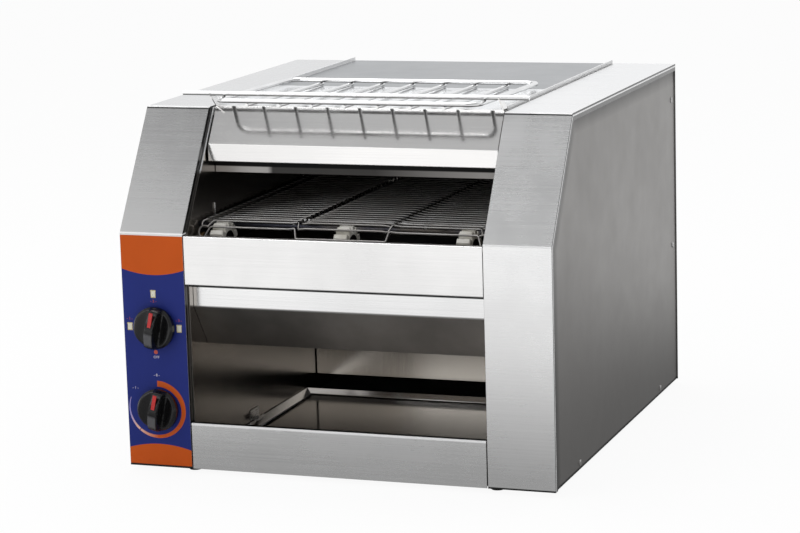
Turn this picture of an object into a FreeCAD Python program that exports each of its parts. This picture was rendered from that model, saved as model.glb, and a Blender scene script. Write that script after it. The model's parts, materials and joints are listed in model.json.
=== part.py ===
import FreeCAD, Part
import math
import os

# Counter-top conveyor toaster. Millimetres, +Z up, the front faces -Y, X is across the width.
# Inside this file y = 0 is the front face, z = 0 is the underside of the casings and x = 0 is
# the middle. The last step moves everything so that the origin is the middle of the footprint.

V = FreeCAD.Vector

# Casing
WIDTH = 480.0
DEPTH = 524.0
HEIGHT = 381.0
KNEE_Z = 255.5
SLANT_SETBACK = 84.0
COLUMN_WIDTH = 73.0
SHEET = 1.2
FOOT_HEIGHT = 5.0
FOOT_RADIUS = 8.0
FOOT_X = 171.5
FOOT_Y = 19.0
FLANGE_DEPTH = 8.0
SIDE_PANEL_STEP = 1.4
SIDE_FLANGE = 12.0
BEND_RADIUS = 2.0
FOLD_RADIUS = 1.0
GAP = 0.3

# Chamber
OPENING_HALF = WIDTH / 2 - COLUMN_WIDTH
WALL_INNER = 165.4
WALL_SHEET = 1.2
WALL_INSET = 8.5
CROSS_PANEL_BOTTOM = 201.5
CROSS_PANEL_TOP = 254.0
LOWER_PANEL_TOP = 50.5
PANEL_FLANGE = 7.5
HOOD_INSET = 8.5
HOOD_HALF = 163.5
HOOD_LIP_TOP = 343.0
HOOD_LIP_BOTTOM = 324.0
HOOD_LIP_RETURN = 18.0
HOOD_TOP_FLANGE = 11.0
DECK_HALF = 164.0
DECK_REAR = 274.0
UPSTAND = 4.0
HEATER_BOX_FRONT = 90.0
HEATER_BOX_REAR = 420.0
HEATER_BOX_BOTTOM = 309.5
HEATER_BOX_TOP = 331.0
DEFLECTOR_Y = 18.0
DEFLECTOR_TOP = 209.0
DEFLECTOR_KNEE_Z = 175.0
DEFLECTOR_TOE = (51.0, 127.6)
DEFLECTOR_FLANGE = 16.0
DEFLECTOR_BEND = 3.0
UNDERPAN_REAR = 425.0
THIN_SHEET = 1.0
LOWER_REFLECTOR_Y = (95.0, 340.0)
LOWER_REFLECTOR_DROP = 18.0
LOWER_REFLECTOR_RIM = 9.0
CHUTE_Y = 364.0
CHUTE_LIP = (22.6, 62.0)
CHUTE_HEAD = (508.0, 270.0)
CHUTE_UPRIGHT = 40.0
CHUTE_HALF = 164.0
PIN_Y = 83.0
PIN_Z = (262.0, 277.0)
PIN_RADIUS = 0.8
CLIP_Y = (158.0, 182.0)
CLIP_Z = (14.0, 26.0)
CLIP_REACH = 9.0

# Belt and its two shafts
BELT_PITCH = 12.7
SPROCKET_TEETH = 12
PITCHES_PER_RUN = 28
BELT_WIRE = 2.5
BELT_HALF = 163.3
BELT_LANE_EDGE = 52.7
BELT_RADIUS = BELT_PITCH / (2 * math.sin(math.pi / SPROCKET_TEETH))
FRONT_SHAFT_Y = 52.0
REAR_SHAFT_Y = FRONT_SHAFT_Y + PITCHES_PER_RUN * BELT_PITCH
SHAFT_Z = 238.8
SHAFT_RADIUS = 6.0
RUNNING_CLEARANCE = 0.05
SPROCKET_X = (-142.5, -1.0, 135.0)
SPROCKET_HALF = 7.5
SPROCKET_BODY = BELT_RADIUS - 4.0
SPROCKET_TIP = BELT_RADIUS - BELT_WIRE / 2 - 0.25
COLLAR_RADIUS = 9.5
COLLAR_WIDTH = 4.0
RAIL_X = 75.0
RAIL_Y = (88.0, 372.0)
RAIL_HEIGHT = 8.0
CROSS_BAR_Y = (104.0, 356.0)
CROSS_BAR_RADIUS = 3.0

# Chain drive in the right housing
CHAIN_PITCH = 6.35
DRIVEN_TEETH = 24
DRIVER_TEETH = 12
CHAIN_X = 196.0
MOTOR_Y = 330.0
MOTOR_Z = 130.0
CHAIN_WHEEL_HALF = 1.3
CHAIN_HALF = 2.6
CHAIN_INSIDE = 0.6
CHAIN_OUTSIDE = 3.4
OUTPUT_RADIUS = 5.0
CAN_X = 197.0
CAN_RADIUS = 24.0
CAN_DROP = 20.0

# Controls on the left column
KNOB_X = -201.8
SELECTOR_Z = 154.2
SPEED_Z = 64.3
KNOB_RADIUS = 23.0
KNOB_PROUD = 22.0
KNOB_TILT = 12.0
GRIP_HALF = 5.5
GRIP_REACH = 21.0
SPINDLE_RADIUS = 3.0
SPINDLE_HOLE = 5.0
OVERLAY_SHEET = 0.4
OVERLAY_MARGIN = 0.3
POINTER = (2.0, 1.2, 4.0, 20.0)
SWITCH_Y = SHEET + 3.0
BOARD_Y = (34.0, 35.6)

# Heating rods
UPPER_ROD_Y = (135.0, 205.0, 275.0, 345.0)
UPPER_ROD_Z = 317.0
LOWER_ROD_Y = (130.0, 215.0, 300.0)
LOWER_ROD_Z = 244.0
ROD_RADIUS = 4.0
ROD_HALF = 180.0
STUD_LENGTH = 12.0
STUD_RADIUS = 1.8

# Tray
TRAY_HALF = 164.4
TRAY_REAR = 330.0
TRAY_FLOOR_Z = 4.0
TRAY_RUNNER_X = 120.0
TRAY_RIM_Z = 12.6
TRAY_RIM_SLOPE = 5.0
TRAY_REAR_SLOPE = 0.8
TRAY_BEND = 1.5
TRAY_SHEET = 0.9
TRAY_INNER_FRONT = 30.0

# Top rack
RACK_HALF = 147.0
RACK_WIRE = 5.0
RACK_BAR = 4.0
RACK_BARS = 7
RACK_FRONT = SLANT_SETBACK - 28.0
RACK_REAR = SLANT_SETBACK + 190.0
CROSS_ROD_Y = SLANT_SETBACK - 3.0
CROSS_ROD_Z = HEIGHT + 15.5
CROSS_ROD_HALF = 195.0
RACK_PITCH_DEG = 1.1
RACK_CORNER = 12.0

# Rear face, covers and bushes
GLAND_PROUD = 14.0
GLAND_X = -203.0
GLAND_Z = 44.0
GLAND_BORE = 4.5
LOUVRE_ROWS = 9
LOUVRE_PITCH = 12.0
LOUVRE_X = 203.0
LOUVRE_Z = 250.0
LOUVRE_HALF = 22.0
SIDE_SCREWS = ((96.0, 7.0), (442.0, 7.0), (508.0, 167.0), (508.0, 340.0))
REAR_SCREWS = [(x, z) for x in (-228.0, 0.0, 228.0) for z in (14.0, 366.0)]
BUSH_RADIUS = 11.0
BUSH_LENGTH = 9.0
BUSH_FLANGE_RADIUS = 15.0
INSULATOR_RADIUS = 7.0
SCREW_SHANK = 1.9
SCREW_HOLE = 2.1
GEARBOX_X = (170.5, 189.0)

FRONT_TO_MIDDLE = (DEPTH + GLAND_PROUD - KNOB_PROUD) / 2

nodes = {}


def box(x0, x1, y0, y1, z0, z1):
    return Part.makeBox(x1 - x0, y1 - y0, z1 - z0, V(x0, y0, z0))


def rod_x(x0, x1, y, z, radius):
    return Part.makeCylinder(radius, x1 - x0, V(x0, y, z), V(1, 0, 0))


def rod_y(x, y0, y1, z, radius):
    return Part.makeCylinder(radius, y1 - y0, V(x, y0, z), V(0, 1, 0))


def rod_z(x, y, z0, z1, radius):
    return Part.makeCylinder(radius, z1 - z0, V(x, y, z0), V(0, 0, 1))


def prism_x(points, x0, x1):
    # points are (y, z) pairs of a closed outline
    corners = [V(x0, y, z) for y, z in points]
    wire = Part.makePolygon(corners + corners[:1])
    return Part.Face(wire).extrude(V(x1 - x0, 0, 0))


def prism_y(points, y0, y1):
    # points are (x, z) pairs of a closed outline
    corners = [V(x, y0, z) for x, z in points]
    wire = Part.makePolygon(corners + corners[:1])
    return Part.Face(wire).extrude(V(0, y1 - y0, 0))


def mirrored(shape):
    return shape.mirror(V(0, 0, 0), V(1, 0, 0))


def fuse(shapes):
    whole = shapes[0].fuse(list(shapes[1:]))
    return whole.removeSplitter()


def round_edges(shape, radius, wanted):
    # rounds the edges for which wanted(edge) is true
    edges = [edge for edge in shape.Edges if wanted(edge)]
    if not edges:
        return shape
    return shape.makeFillet(radius, edges)


def along_x_at(spots, tolerance=0.05):
    # tells whether an edge runs along X through one of the (y, z) spots
    def wanted(edge):
        low = edge.BoundBox
        if low.YLength > tolerance or low.ZLength > tolerance or low.XLength < 1:
            return False
        for y, z in spots:
            if abs(low.YMin - y) < tolerance and abs(low.ZMin - z) < tolerance:
                return True
        return False
    return wanted


def profile(inset, bottom, rear):
    # the line of the front, the slant and the top, moved inwards by inset
    angle = math.atan2(SLANT_SETBACK, HEIGHT - KNEE_Z)
    knee = KNEE_Z - inset * math.tan(angle / 2)
    crest = SLANT_SETBACK + inset * (1 - math.sin(angle)) / math.cos(angle)
    return [(inset, bottom), (inset, knee), (crest, HEIGHT - inset), (rear, HEIGHT - inset)]


def slant_y(z, inset):
    # y of the slanted line, moved inwards by inset, at height z
    line = profile(inset, 0, DEPTH)
    (y0, z0), (y1, z1) = line[1], line[2]
    return y0 + (z - z0) * (y1 - y0) / (z1 - z0)


def strip(outer, inner, x0, x1, bottom=0.0, rear=DEPTH):
    # a bent strip between two insets of the profile
    outside = profile(outer, bottom, rear)
    inside = profile(inner, bottom, rear)
    return prism_x(outside + inside[::-1], x0, x1)


def column_casing():
    # left casing: front, slant and top in one bent sheet, with a narrow flange on each side
    outer_x = -WIDTH / 2
    inner_x = -OPENING_HALF
    flange_rear = DEPTH - SHEET - 0.1
    sheet = strip(0, SHEET, outer_x, inner_x)
    outer_flange = strip(0, FLANGE_DEPTH, outer_x, outer_x + SHEET, 0, flange_rear)
    inner_flange = strip(0, FLANGE_DEPTH, inner_x - SHEET, inner_x, 0, flange_rear)
    casing = fuse([sheet, outer_flange, inner_flange])
    corners = profile(0, 0, DEPTH)[1:3]
    return round_edges(casing, BEND_RADIUS, along_x_at(corners))


def side_panel():
    # left side cover, tucked behind the casing's flange
    x0 = -WIDTH / 2 + SIDE_PANEL_STEP
    x1 = x0 + SHEET
    rear = DEPTH - SHEET - 0.2
    line = profile(2.0, 0, rear)
    panel = prism_x(line + [(rear, 0.0)], x0, x1)
    lower_flange = box(x0, x0 + SIDE_FLANGE, 12, rear - 12, 0, SHEET)
    panel = fuse([panel, lower_flange])
    for y, z in SIDE_SCREWS:
        panel = panel.cut(rod_x(x0 - 1, x1 + 1, y, z, SCREW_HOLE))
    return panel


def cover_screws():
    # equal pan-head screws on both side covers and on the rear panel
    x0 = -WIDTH / 2 + SIDE_PANEL_STEP
    solids = []
    for y, z in SIDE_SCREWS:
        screw = pan_head_screw()
        screw.translate(V(x0, y, z))
        solids.append(screw)
        solids.append(mirrored(screw))
    for x, z in REAR_SCREWS:
        screw = pan_head_screw()
        screw.rotate(V(0, 0, 0), V(0, 0, 1), -90)
        screw.translate(V(x, DEPTH, z))
        solids.append(screw)
    return Part.makeCompound(solids)


def pan_head_screw():
    # its head's underside is at the origin and its shank points along +X
    head = rod_x(-1.3, 0, 0, 0, 3.6)
    head = round_edges(head, 1.0, lambda edge: abs(edge.BoundBox.XMax + 1.3) < 0.01)
    shank = rod_x(0, 7, 0, 0, SCREW_SHANK)
    return fuse([head, shank])


def chamber_wall():
    # left wall of the cooking chamber
    x0 = -WALL_INNER - WALL_SHEET
    x1 = -WALL_INNER
    top = HEIGHT - SHEET - 0.4
    line = profile(WALL_INSET, SHEET + 0.2, DEPTH - SHEET - 0.3)[:3]
    line = [line[0], line[1], (slant_y(top, WALL_INSET), top), (DEPTH - SHEET - 0.3, top)]
    line.append((DEPTH - SHEET - 0.3, SHEET + 0.2))
    wall = prism_x(line, x0, x1)
    for y in (FRONT_SHAFT_Y, REAR_SHAFT_Y):
        wall = wall.cut(rod_x(x0 - 1, x1 + 1, y, SHAFT_Z, BUSH_RADIUS))
    for y, z in rod_places():
        wall = wall.cut(rod_x(x0 - 1, x1 + 1, y, z, INSULATOR_RADIUS))
    return wall


def rod_places():
    upper = [(y, UPPER_ROD_Z) for y in UPPER_ROD_Y]
    lower = [(y, LOWER_ROD_Z) for y in LOWER_ROD_Y]
    return upper + lower


def front_cross_panel():
    # front panel below the mouth, folded back along its top and bottom edges
    z0, z1 = CROSS_PANEL_BOTTOM, CROSS_PANEL_TOP
    half = OPENING_HALF - 0.8
    outline = [(0, z0), (0, z1), (PANEL_FLANGE, z1), (PANEL_FLANGE, z1 - SHEET), (SHEET, z1 - SHEET),
               (SHEET, z0 + SHEET), (PANEL_FLANGE, z0 + SHEET), (PANEL_FLANGE, z0)]
    panel = prism_x(outline, -half, half)
    return round_edges(panel, FOLD_RADIUS, along_x_at([(0, z0), (0, z1)]))


def hood_panel():
    # slanted guard over the mouth, with an upright lip below and a narrow flange above
    crest_y = slant_y(HEIGHT, HOOD_INSET)
    lip_y = slant_y(HOOD_LIP_TOP, HOOD_INSET)
    gap = SHEET / math.cos(math.atan2(SLANT_SETBACK, HEIGHT - KNEE_Z))
    flange_end = crest_y + HOOD_TOP_FLANGE
    return_end = lip_y + HOOD_LIP_RETURN
    outline = [(lip_y, HOOD_LIP_BOTTOM), (lip_y, HOOD_LIP_TOP), (crest_y, HEIGHT),
               (flange_end, HEIGHT), (flange_end, HEIGHT - SHEET),
               (crest_y + gap, HEIGHT - SHEET), (lip_y + gap, HOOD_LIP_TOP - 0.4),
               (lip_y + SHEET, HOOD_LIP_TOP - 0.6), (lip_y + SHEET, HOOD_LIP_BOTTOM + SHEET),
               (return_end, HOOD_LIP_BOTTOM + SHEET), (return_end, HOOD_LIP_BOTTOM)]
    hood = prism_x(outline, -HOOD_HALF, HOOD_HALF)
    spots = [(lip_y, HOOD_LIP_BOTTOM), (crest_y, HEIGHT)]
    hood = round_edges(hood, FOLD_RADIUS, along_x_at(spots))
    tab = rack_tab(crest_y, flange_end)
    return fuse([hood, tab, mirrored(tab)])


def rack_tab(crest_y, flange_end):
    # upright ear at the left end of the hood's top flange; the rack's cross rod lies in its notch
    foot = HEIGHT - SHEET
    outline = [(crest_y + FOLD_RADIUS, foot), (CROSS_ROD_Y - 4.5, CROSS_ROD_Z),
               (CROSS_ROD_Y + 5.5, CROSS_ROD_Z), (flange_end, HEIGHT + 3), (flange_end, foot)]
    tab = prism_x(outline, -HOOD_HALF, -HOOD_HALF + SHEET)
    return tab.cut(rod_x(-WIDTH, WIDTH, CROSS_ROD_Y, CROSS_ROD_Z, RACK_WIRE / 2 + 0.15))


def top_plate(y0, y1):
    # a flat top sheet with low upstands along both sides
    flat = box(-DECK_HALF, DECK_HALF, y0, y1, HEIGHT - SHEET, HEIGHT)
    left = box(-DECK_HALF, -DECK_HALF + SHEET, y0, y1, HEIGHT - SHEET, HEIGHT + UPSTAND)
    return fuse([flat, left, mirrored(left)])


def heater_box():
    # reflector over the upper heating rods, folded down at the front and the rear
    y0, y1 = HEATER_BOX_FRONT, HEATER_BOX_REAR
    z0, z1 = HEATER_BOX_BOTTOM, HEATER_BOX_TOP
    outline = [(y0, z0), (y0, z1), (y1, z1), (y1, z0), (y1 - SHEET, z0), (y1 - SHEET, z1 - SHEET),
               (y0 + SHEET, z1 - SHEET), (y0 + SHEET, z0)]
    half = WALL_INNER - 0.6
    return prism_x(outline, -half, half)


def deflector():
    # guard below the belt's front end: an upright band, then a slope down to the rear
    toe_y, toe_z = DEFLECTOR_TOE
    run = (toe_y - DEFLECTOR_Y) / (DEFLECTOR_KNEE_Z - toe_z)
    thick = SHEET * math.sqrt(1 + run * run)
    outline = [(DEFLECTOR_Y, DEFLECTOR_TOP), (DEFLECTOR_Y, DEFLECTOR_KNEE_Z), (toe_y, toe_z),
               (toe_y + thick, toe_z), (DEFLECTOR_Y + thick, DEFLECTOR_KNEE_Z),
               (DEFLECTOR_Y + thick, DEFLECTOR_TOP - SHEET),
               (DEFLECTOR_Y + DEFLECTOR_FLANGE, DEFLECTOR_TOP - SHEET),
               (DEFLECTOR_Y + DEFLECTOR_FLANGE, DEFLECTOR_TOP)]
    half = WALL_INNER - 0.4
    guard = prism_x(outline, -half, half)
    return round_edges(guard, DEFLECTOR_BEND, along_x_at([(DEFLECTOR_Y, DEFLECTOR_KNEE_Z)]))


def belt_underpan():
    # heat shield under the lower belt run
    half = WALL_INNER - 0.4
    z0 = DEFLECTOR_TOP + 0.2
    return box(-half, half, DEFLECTOR_Y + 2, UNDERPAN_REAR, z0, z0 + THIN_SHEET)


def lower_reflector():
    # tray-shaped reflector between the two belt runs, under the lower heating rods
    half = WALL_INNER - 0.6
    y0, y1 = LOWER_REFLECTOR_Y
    z0 = LOWER_ROD_Z - LOWER_REFLECTOR_DROP
    z1 = z0 + LOWER_REFLECTOR_RIM
    flat = box(-half, half, y0, y1, z0, z0 + THIN_SHEET)
    front = box(-half, half, y0, y0 + THIN_SHEET, z0, z1)
    rear = box(-half, half, y1 - THIN_SHEET, y1, z0, z1)
    return fuse([flat, front, rear])


def toast_chute():
    # slide behind and below the belt; its lower edge is turned straight down above the tray
    z0, z1 = CHUTE_LIP
    y2, z2 = CHUTE_HEAD
    angle = math.atan2(z2 - z1, y2 - CHUTE_Y)
    rise = SHEET / math.cos(angle)
    half = CHUTE_HALF
    slope = prism_x([(CHUTE_Y, z1), (y2, z2), (y2, z2 - rise), (CHUTE_Y, z1 - rise)], -half, half)
    lip = box(-half, half, CHUTE_Y, CHUTE_Y + SHEET, z0, z1)
    back = box(-half, half, y2 - SHEET, y2, z2 - 3, z2 + CHUTE_UPRIGHT)
    return fuse([slope, lip, back])


def base_pan():
    # floor of the casing, with two pressed runners that the tray slides on
    half = WIDTH / 2 - SIDE_PANEL_STEP - SIDE_FLANGE - GAP
    pan = box(-half, half, FLANGE_DEPTH + GAP, DEPTH - SHEET - GAP, 0, SHEET)
    left = box(-TRAY_RUNNER_X - 5, -TRAY_RUNNER_X + 5, 20, TRAY_REAR, SHEET, TRAY_FLOOR_Z - GAP)
    pan = fuse([pan, left, mirrored(left)])
    for x, y in foot_places():
        pan = pan.cut(rod_z(x, y, -1, SHEET + 1, SCREW_HOLE))
    return pan


def pair(shape):
    return Part.makeCompound([shape, mirrored(shape)])


def foot_places():
    return [(x, y) for x in (-FOOT_X, FOOT_X) for y in (FOOT_Y, DEPTH - FOOT_Y)]


def feet():
    solids = []
    for x, y in foot_places():
        foot = Part.makeCone(FOOT_RADIUS - 1.2, FOOT_RADIUS, FOOT_HEIGHT, V(x, y, -FOOT_HEIGHT))
        foot = foot.cut(rod_z(x, y, -FOOT_HEIGHT + 1.6, 1, SCREW_HOLE))
        solids.append(foot)
    return Part.makeCompound(solids)


def foot_screws():
    solids = []
    for x, y in foot_places():
        shank = rod_z(x, y, -FOOT_HEIGHT + 2.0, SHEET, SCREW_SHANK)
        head = rod_z(x, y, SHEET, SHEET + 1.2, 3.4)
        solids.append(fuse([shank, head]))
    return Part.makeCompound(solids)


def rear_panel():
    half = WIDTH / 2
    panel = box(-half, half, DEPTH - SHEET, DEPTH, 0, HEIGHT - SHEET - 0.1)
    panel = round_edges(panel, 0.6, lambda edge: abs(edge.BoundBox.YMin - DEPTH) < 0.01
                        and edge.BoundBox.YLength < 0.01 and edge.BoundBox.XLength < 0.01)
    for x, z in REAR_SCREWS:
        panel = panel.cut(rod_y(x, DEPTH - 5, DEPTH + 5, z, SCREW_HOLE))
    panel = panel.cut(rod_y(GLAND_X, DEPTH - 5, DEPTH + 5, GLAND_Z, 8.2))
    slots = []
    for side in (-1, 1):
        for row in range(LOUVRE_ROWS):
            x = side * LOUVRE_X
            z = LOUVRE_Z + row * LOUVRE_PITCH
            slots.append(box(x - LOUVRE_HALF, x + LOUVRE_HALF, DEPTH - 5, DEPTH + 5, z, z + 3.5))
    return fuse([panel.cut(Part.makeCompound(slots))] + louvre_hoods())


def louvre_hoods():
    # pressed hoods over the vent slots
    hoods = []
    for side in (-1, 1):
        for row in range(LOUVRE_ROWS):
            z = LOUVRE_Z + row * LOUVRE_PITCH
            x0 = side * LOUVRE_X - LOUVRE_HALF - 2.0
            outline = [(DEPTH - 0.3, z + 6.0), (DEPTH + 3.5, z + 1.5), (DEPTH + 3.5, z + 0.2),
                       (DEPTH + 2.5, z + 0.2), (DEPTH + 2.5, z + 1.2), (DEPTH - 0.3, z + 4.4)]
            hoods.append(prism_x(outline, x0, x0 + 2 * LOUVRE_HALF + 4.0))
    return hoods


def cable_gland():
    # hexagon body with a domed nut and an open bore, inside and outside the rear panel
    body = hexagon_y(GLAND_X, DEPTH, DEPTH + 5, GLAND_Z, 11.0)
    nut = rod_y(GLAND_X, DEPTH + 5, DEPTH + GLAND_PROUD, GLAND_Z, 9.5)
    nut = round_edges(nut, 2.5, lambda edge: abs(edge.BoundBox.YMin - DEPTH - GLAND_PROUD) < 0.01
                      and edge.BoundBox.YLength < 0.01)
    thread = rod_y(GLAND_X, DEPTH - 9, DEPTH, GLAND_Z, 8.0)
    lock_nut = hexagon_y(GLAND_X, DEPTH - SHEET - 4, DEPTH - SHEET, GLAND_Z, 11.0)
    gland = fuse([body, nut, thread, lock_nut])
    return gland.cut(rod_y(GLAND_X, DEPTH - 10, DEPTH + 20, GLAND_Z, GLAND_BORE))


def hexagon_y(x, y0, y1, z, corner):
    points = []
    for k in range(6):
        turn = math.radians(60 * k)
        points.append((x + corner * math.cos(turn), z + corner * math.sin(turn)))
    return prism_y(points, y0, y1)


def guide_pins():
    # upright pins on the chamber walls that keep bread from catching at the belt's edges
    return pair(rod_z(-WALL_INNER + PIN_RADIUS, PIN_Y, PIN_Z[0], PIN_Z[1], PIN_RADIUS))


def tray_clips():
    # small spring clips on the chamber walls above the tray's rims
    (y0, y1), (z0, z1) = CLIP_Y, CLIP_Z
    tip = -WALL_INNER + CLIP_REACH
    plate = box(-WALL_INNER, -WALL_INNER + 1.0, y0, y1, z0, z1)
    finger = box(-WALL_INNER, tip, y0 + 4, y1 - 4, z0, z0 + SHEET)
    lip = box(tip - 1.0, tip, y0 + 4, y1 - 4, z0, z0 + 4.5)
    left = fuse([plate, finger, lip])
    return pair(left)


def bushes():
    # flanged plain bearings, two for each shaft
    solids = []
    for y in (FRONT_SHAFT_Y, REAR_SHAFT_Y):
        x_out = -WALL_INNER - WALL_SHEET
        sleeve = rod_x(x_out - BUSH_LENGTH, -WALL_INNER + 2.0, y, SHAFT_Z, BUSH_RADIUS - 0.05)
        flange = rod_x(x_out - 3, x_out, y, SHAFT_Z, BUSH_FLANGE_RADIUS)
        bush = fuse([sleeve, flange])
        bush = bush.cut(rod_x(-WIDTH, WIDTH, y, SHAFT_Z, SHAFT_RADIUS + RUNNING_CLEARANCE))
        solids.append(bush)
        solids.append(mirrored(bush))
    return Part.makeCompound(solids)


def shaft(y, right_end):
    left_end = -WALL_INNER - 14.0
    turned = rod_x(left_end, right_end, y, SHAFT_Z, SHAFT_RADIUS)
    turned = round_edges(turned, 0.8, lambda edge: edge.BoundBox.XLength < 0.01)
    return turned


def belt_sprockets(y, first_tooth_deg):
    # toothed wheels under the belt; the teeth end just below its wires, which they must not cross
    solids = []
    for x in SPROCKET_X:
        parts = [rod_x(x - SPROCKET_HALF, x + SPROCKET_HALF, y, SHAFT_Z, SPROCKET_BODY)]
        for k in range(SPROCKET_TEETH):
            turn = math.radians(first_tooth_deg + 360.0 / SPROCKET_TEETH * k)
            parts.append(tooth(x, y, turn))
        wheel = fuse(parts)
        solids.append(wheel.cut(rod_x(x - 20, x + 20, y, SHAFT_Z, SHAFT_RADIUS)))
    return Part.makeCompound(solids)


def tooth(x, y, turn):
    outline = tooth_outline(y, SHAFT_Z, turn, (SPROCKET_BODY - 1.5, 3.2), (SPROCKET_TIP, 1.8))
    return prism_x(outline, x - SPROCKET_HALF + 1.5, x + SPROCKET_HALF - 1.5)


def tooth_outline(y, z, turn, foot, tip):
    # foot and tip are (radius, half width); turn is the tooth's angle from +Y
    outline = []
    for radius, half in (foot, tip, (tip[0], -tip[1]), (foot[0], -foot[1])):
        dy = radius * math.cos(turn) - half * math.sin(turn)
        dz = radius * math.sin(turn) + half * math.cos(turn)
        outline.append((y + dy, z + dz))
    return outline


def shaft_collars(y):
    # set collars that keep the shaft from moving sideways
    solids = []
    x0 = -WALL_INNER + 2.6
    ring = rod_x(x0, x0 + COLLAR_WIDTH, y, SHAFT_Z, COLLAR_RADIUS)
    ring = ring.cut(rod_x(-WIDTH, WIDTH, y, SHAFT_Z, SHAFT_RADIUS))
    solids.append(ring)
    solids.append(mirrored(ring))
    return Part.makeCompound(solids)


def lanes():
    # the three side-by-side spaces of the belt: (low x, high x)
    half = BELT_WIRE / 2
    return [(-BELT_HALF + BELT_WIRE, -BELT_LANE_EDGE - half),
            (-BELT_LANE_EDGE + half, BELT_LANE_EDGE - half),
            (BELT_LANE_EDGE + half, BELT_HALF - BELT_WIRE)]


def belt_run(z_middle):
    # a flat stretch of the wire belt as one sheet with its gaps
    z = z_middle - BELT_WIRE / 2
    outline = rectangle(-BELT_HALF, BELT_HALF, FRONT_SHAFT_Y, REAR_SHAFT_Y, z)
    gaps = []
    for x0, x1 in lanes():
        for k in range(PITCHES_PER_RUN):
            y0 = FRONT_SHAFT_Y + k * BELT_PITCH + BELT_WIRE / 2
            y1 = FRONT_SHAFT_Y + (k + 1) * BELT_PITCH - BELT_WIRE / 2
            gaps.append(rectangle(x0, x1, y0, y1, z))
    face = Part.Face(outline)
    holed = face.cut(Part.makeCompound([Part.Face(gap) for gap in gaps]))
    return holed.Faces[0].extrude(V(0, 0, BELT_WIRE))


def rectangle(x0, x1, y0, y1, z):
    corners = [V(x0, y0, z), V(x1, y0, z), V(x1, y1, z), V(x0, y1, z)]
    return Part.makePolygon(corners + corners[:1])


def belt_turn(y, side):
    # the half turn round a shaft; side is -1 at the front and 1 at the rear
    outer = rod_x(-BELT_HALF, BELT_HALF, y, SHAFT_Z, BELT_RADIUS + BELT_WIRE / 2)
    inner = rod_x(-BELT_HALF, BELT_HALF, y, SHAFT_Z, BELT_RADIUS - BELT_WIRE / 2)
    band = outer.cut(inner)
    if side < 0:
        half_space = box(-WIDTH, WIDTH, y, y + 100, 0, HEIGHT)
    else:
        half_space = box(-WIDTH, WIDTH, y - 100, y, 0, HEIGHT)
    band = band.cut(half_space)
    step = 360.0 / SPROCKET_TEETH
    wire_half = math.degrees(BELT_WIRE / 2 / BELT_RADIUS)
    cuts = []
    for k in range(SPROCKET_TEETH // 2):
        start = 90.0 + step * k if side < 0 else -90.0 + step * k
        for x0, x1 in lanes():
            cuts.append(wedge(x0, x1, y, start + wire_half, start + step - wire_half))
    return band.cut(Part.makeCompound(cuts))


def wedge(x0, x1, y, start_deg, end_deg):
    reach = BELT_RADIUS + 8
    outline = [(y, SHAFT_Z)]
    for degrees in (start_deg, (start_deg + end_deg) / 2, end_deg):
        turn = math.radians(degrees)
        outline.append((y + reach * math.cos(turn), SHAFT_Z + reach * math.sin(turn)))
    return prism_x(outline, x0, x1)


def belt_support():
    # two rails under the upper run, on two cross bars fixed in the chamber walls
    top = SHAFT_Z + BELT_RADIUS - BELT_WIRE / 2 - 0.3
    parts = []
    for x in (-RAIL_X, RAIL_X):
        parts.append(box(x - 1.5, x + 1.5, RAIL_Y[0], RAIL_Y[1], top - RAIL_HEIGHT, top))
    for y in CROSS_BAR_Y:
        parts.append(rod_x(-WALL_INNER, WALL_INNER, y, top - 5.5, CROSS_BAR_RADIUS))
    return fuse(parts)


def heating_rods(places):
    solids = []
    for y, z in places:
        rod = rod_x(-ROD_HALF, ROD_HALF, y, z, ROD_RADIUS)
        solids.append(rod)
    return Part.makeCompound(solids)


def insulators():
    # ceramic bushes that carry the rods through the walls
    solids = []
    for y, z in rod_places():
        sleeve = rod_x(-WALL_INNER - WALL_SHEET - 5, -WALL_INNER + 2.5, y, z, INSULATOR_RADIUS - 0.05)
        collar = rod_x(-WALL_INNER - WALL_SHEET - 5, -WALL_INNER - WALL_SHEET, y, z, 9.0)
        bush = fuse([sleeve, collar]).cut(rod_x(-WIDTH, WIDTH, y, z, ROD_RADIUS))
        solids.append(bush)
        solids.append(mirrored(bush))
    return Part.makeCompound(solids)


def rod_terminals():
    # threaded terminal studs on both ends of every rod
    solids = []
    for y, z in rod_places():
        stud = rod_x(-ROD_HALF - STUD_LENGTH, -ROD_HALF, y, z, STUD_RADIUS)
        nut = rod_x(-ROD_HALF - 6, -ROD_HALF - 3, y, z, 3.5)
        whole = fuse([stud, nut])
        solids.append(whole)
        solids.append(mirrored(whole))
    return Part.makeCompound(solids)


def chain_radius(teeth):
    return CHAIN_PITCH / (2 * math.sin(math.pi / teeth))


def chain_sprocket(y, z, teeth, bore, hub_length):
    root = chain_radius(teeth) - 2.2
    x0, x1 = CHAIN_X - CHAIN_WHEEL_HALF, CHAIN_X + CHAIN_WHEEL_HALF
    parts = [rod_x(x0, x1, y, z, root)]
    tip = chain_radius(teeth) + 0.3
    for k in range(teeth):
        turn = 2 * math.pi * k / teeth
        outline = tooth_outline(y, z, turn, (root - 1.5, 2.0), (tip, 0.8))
        parts.append(prism_x(outline, x0, x1))
    parts.append(rod_x(CHAIN_X - hub_length, CHAIN_X, y, z, bore + 3.5))
    wheel = fuse(parts)
    return wheel.cut(rod_x(CHAIN_X - 60, CHAIN_X + 60, y, z, bore))


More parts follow.
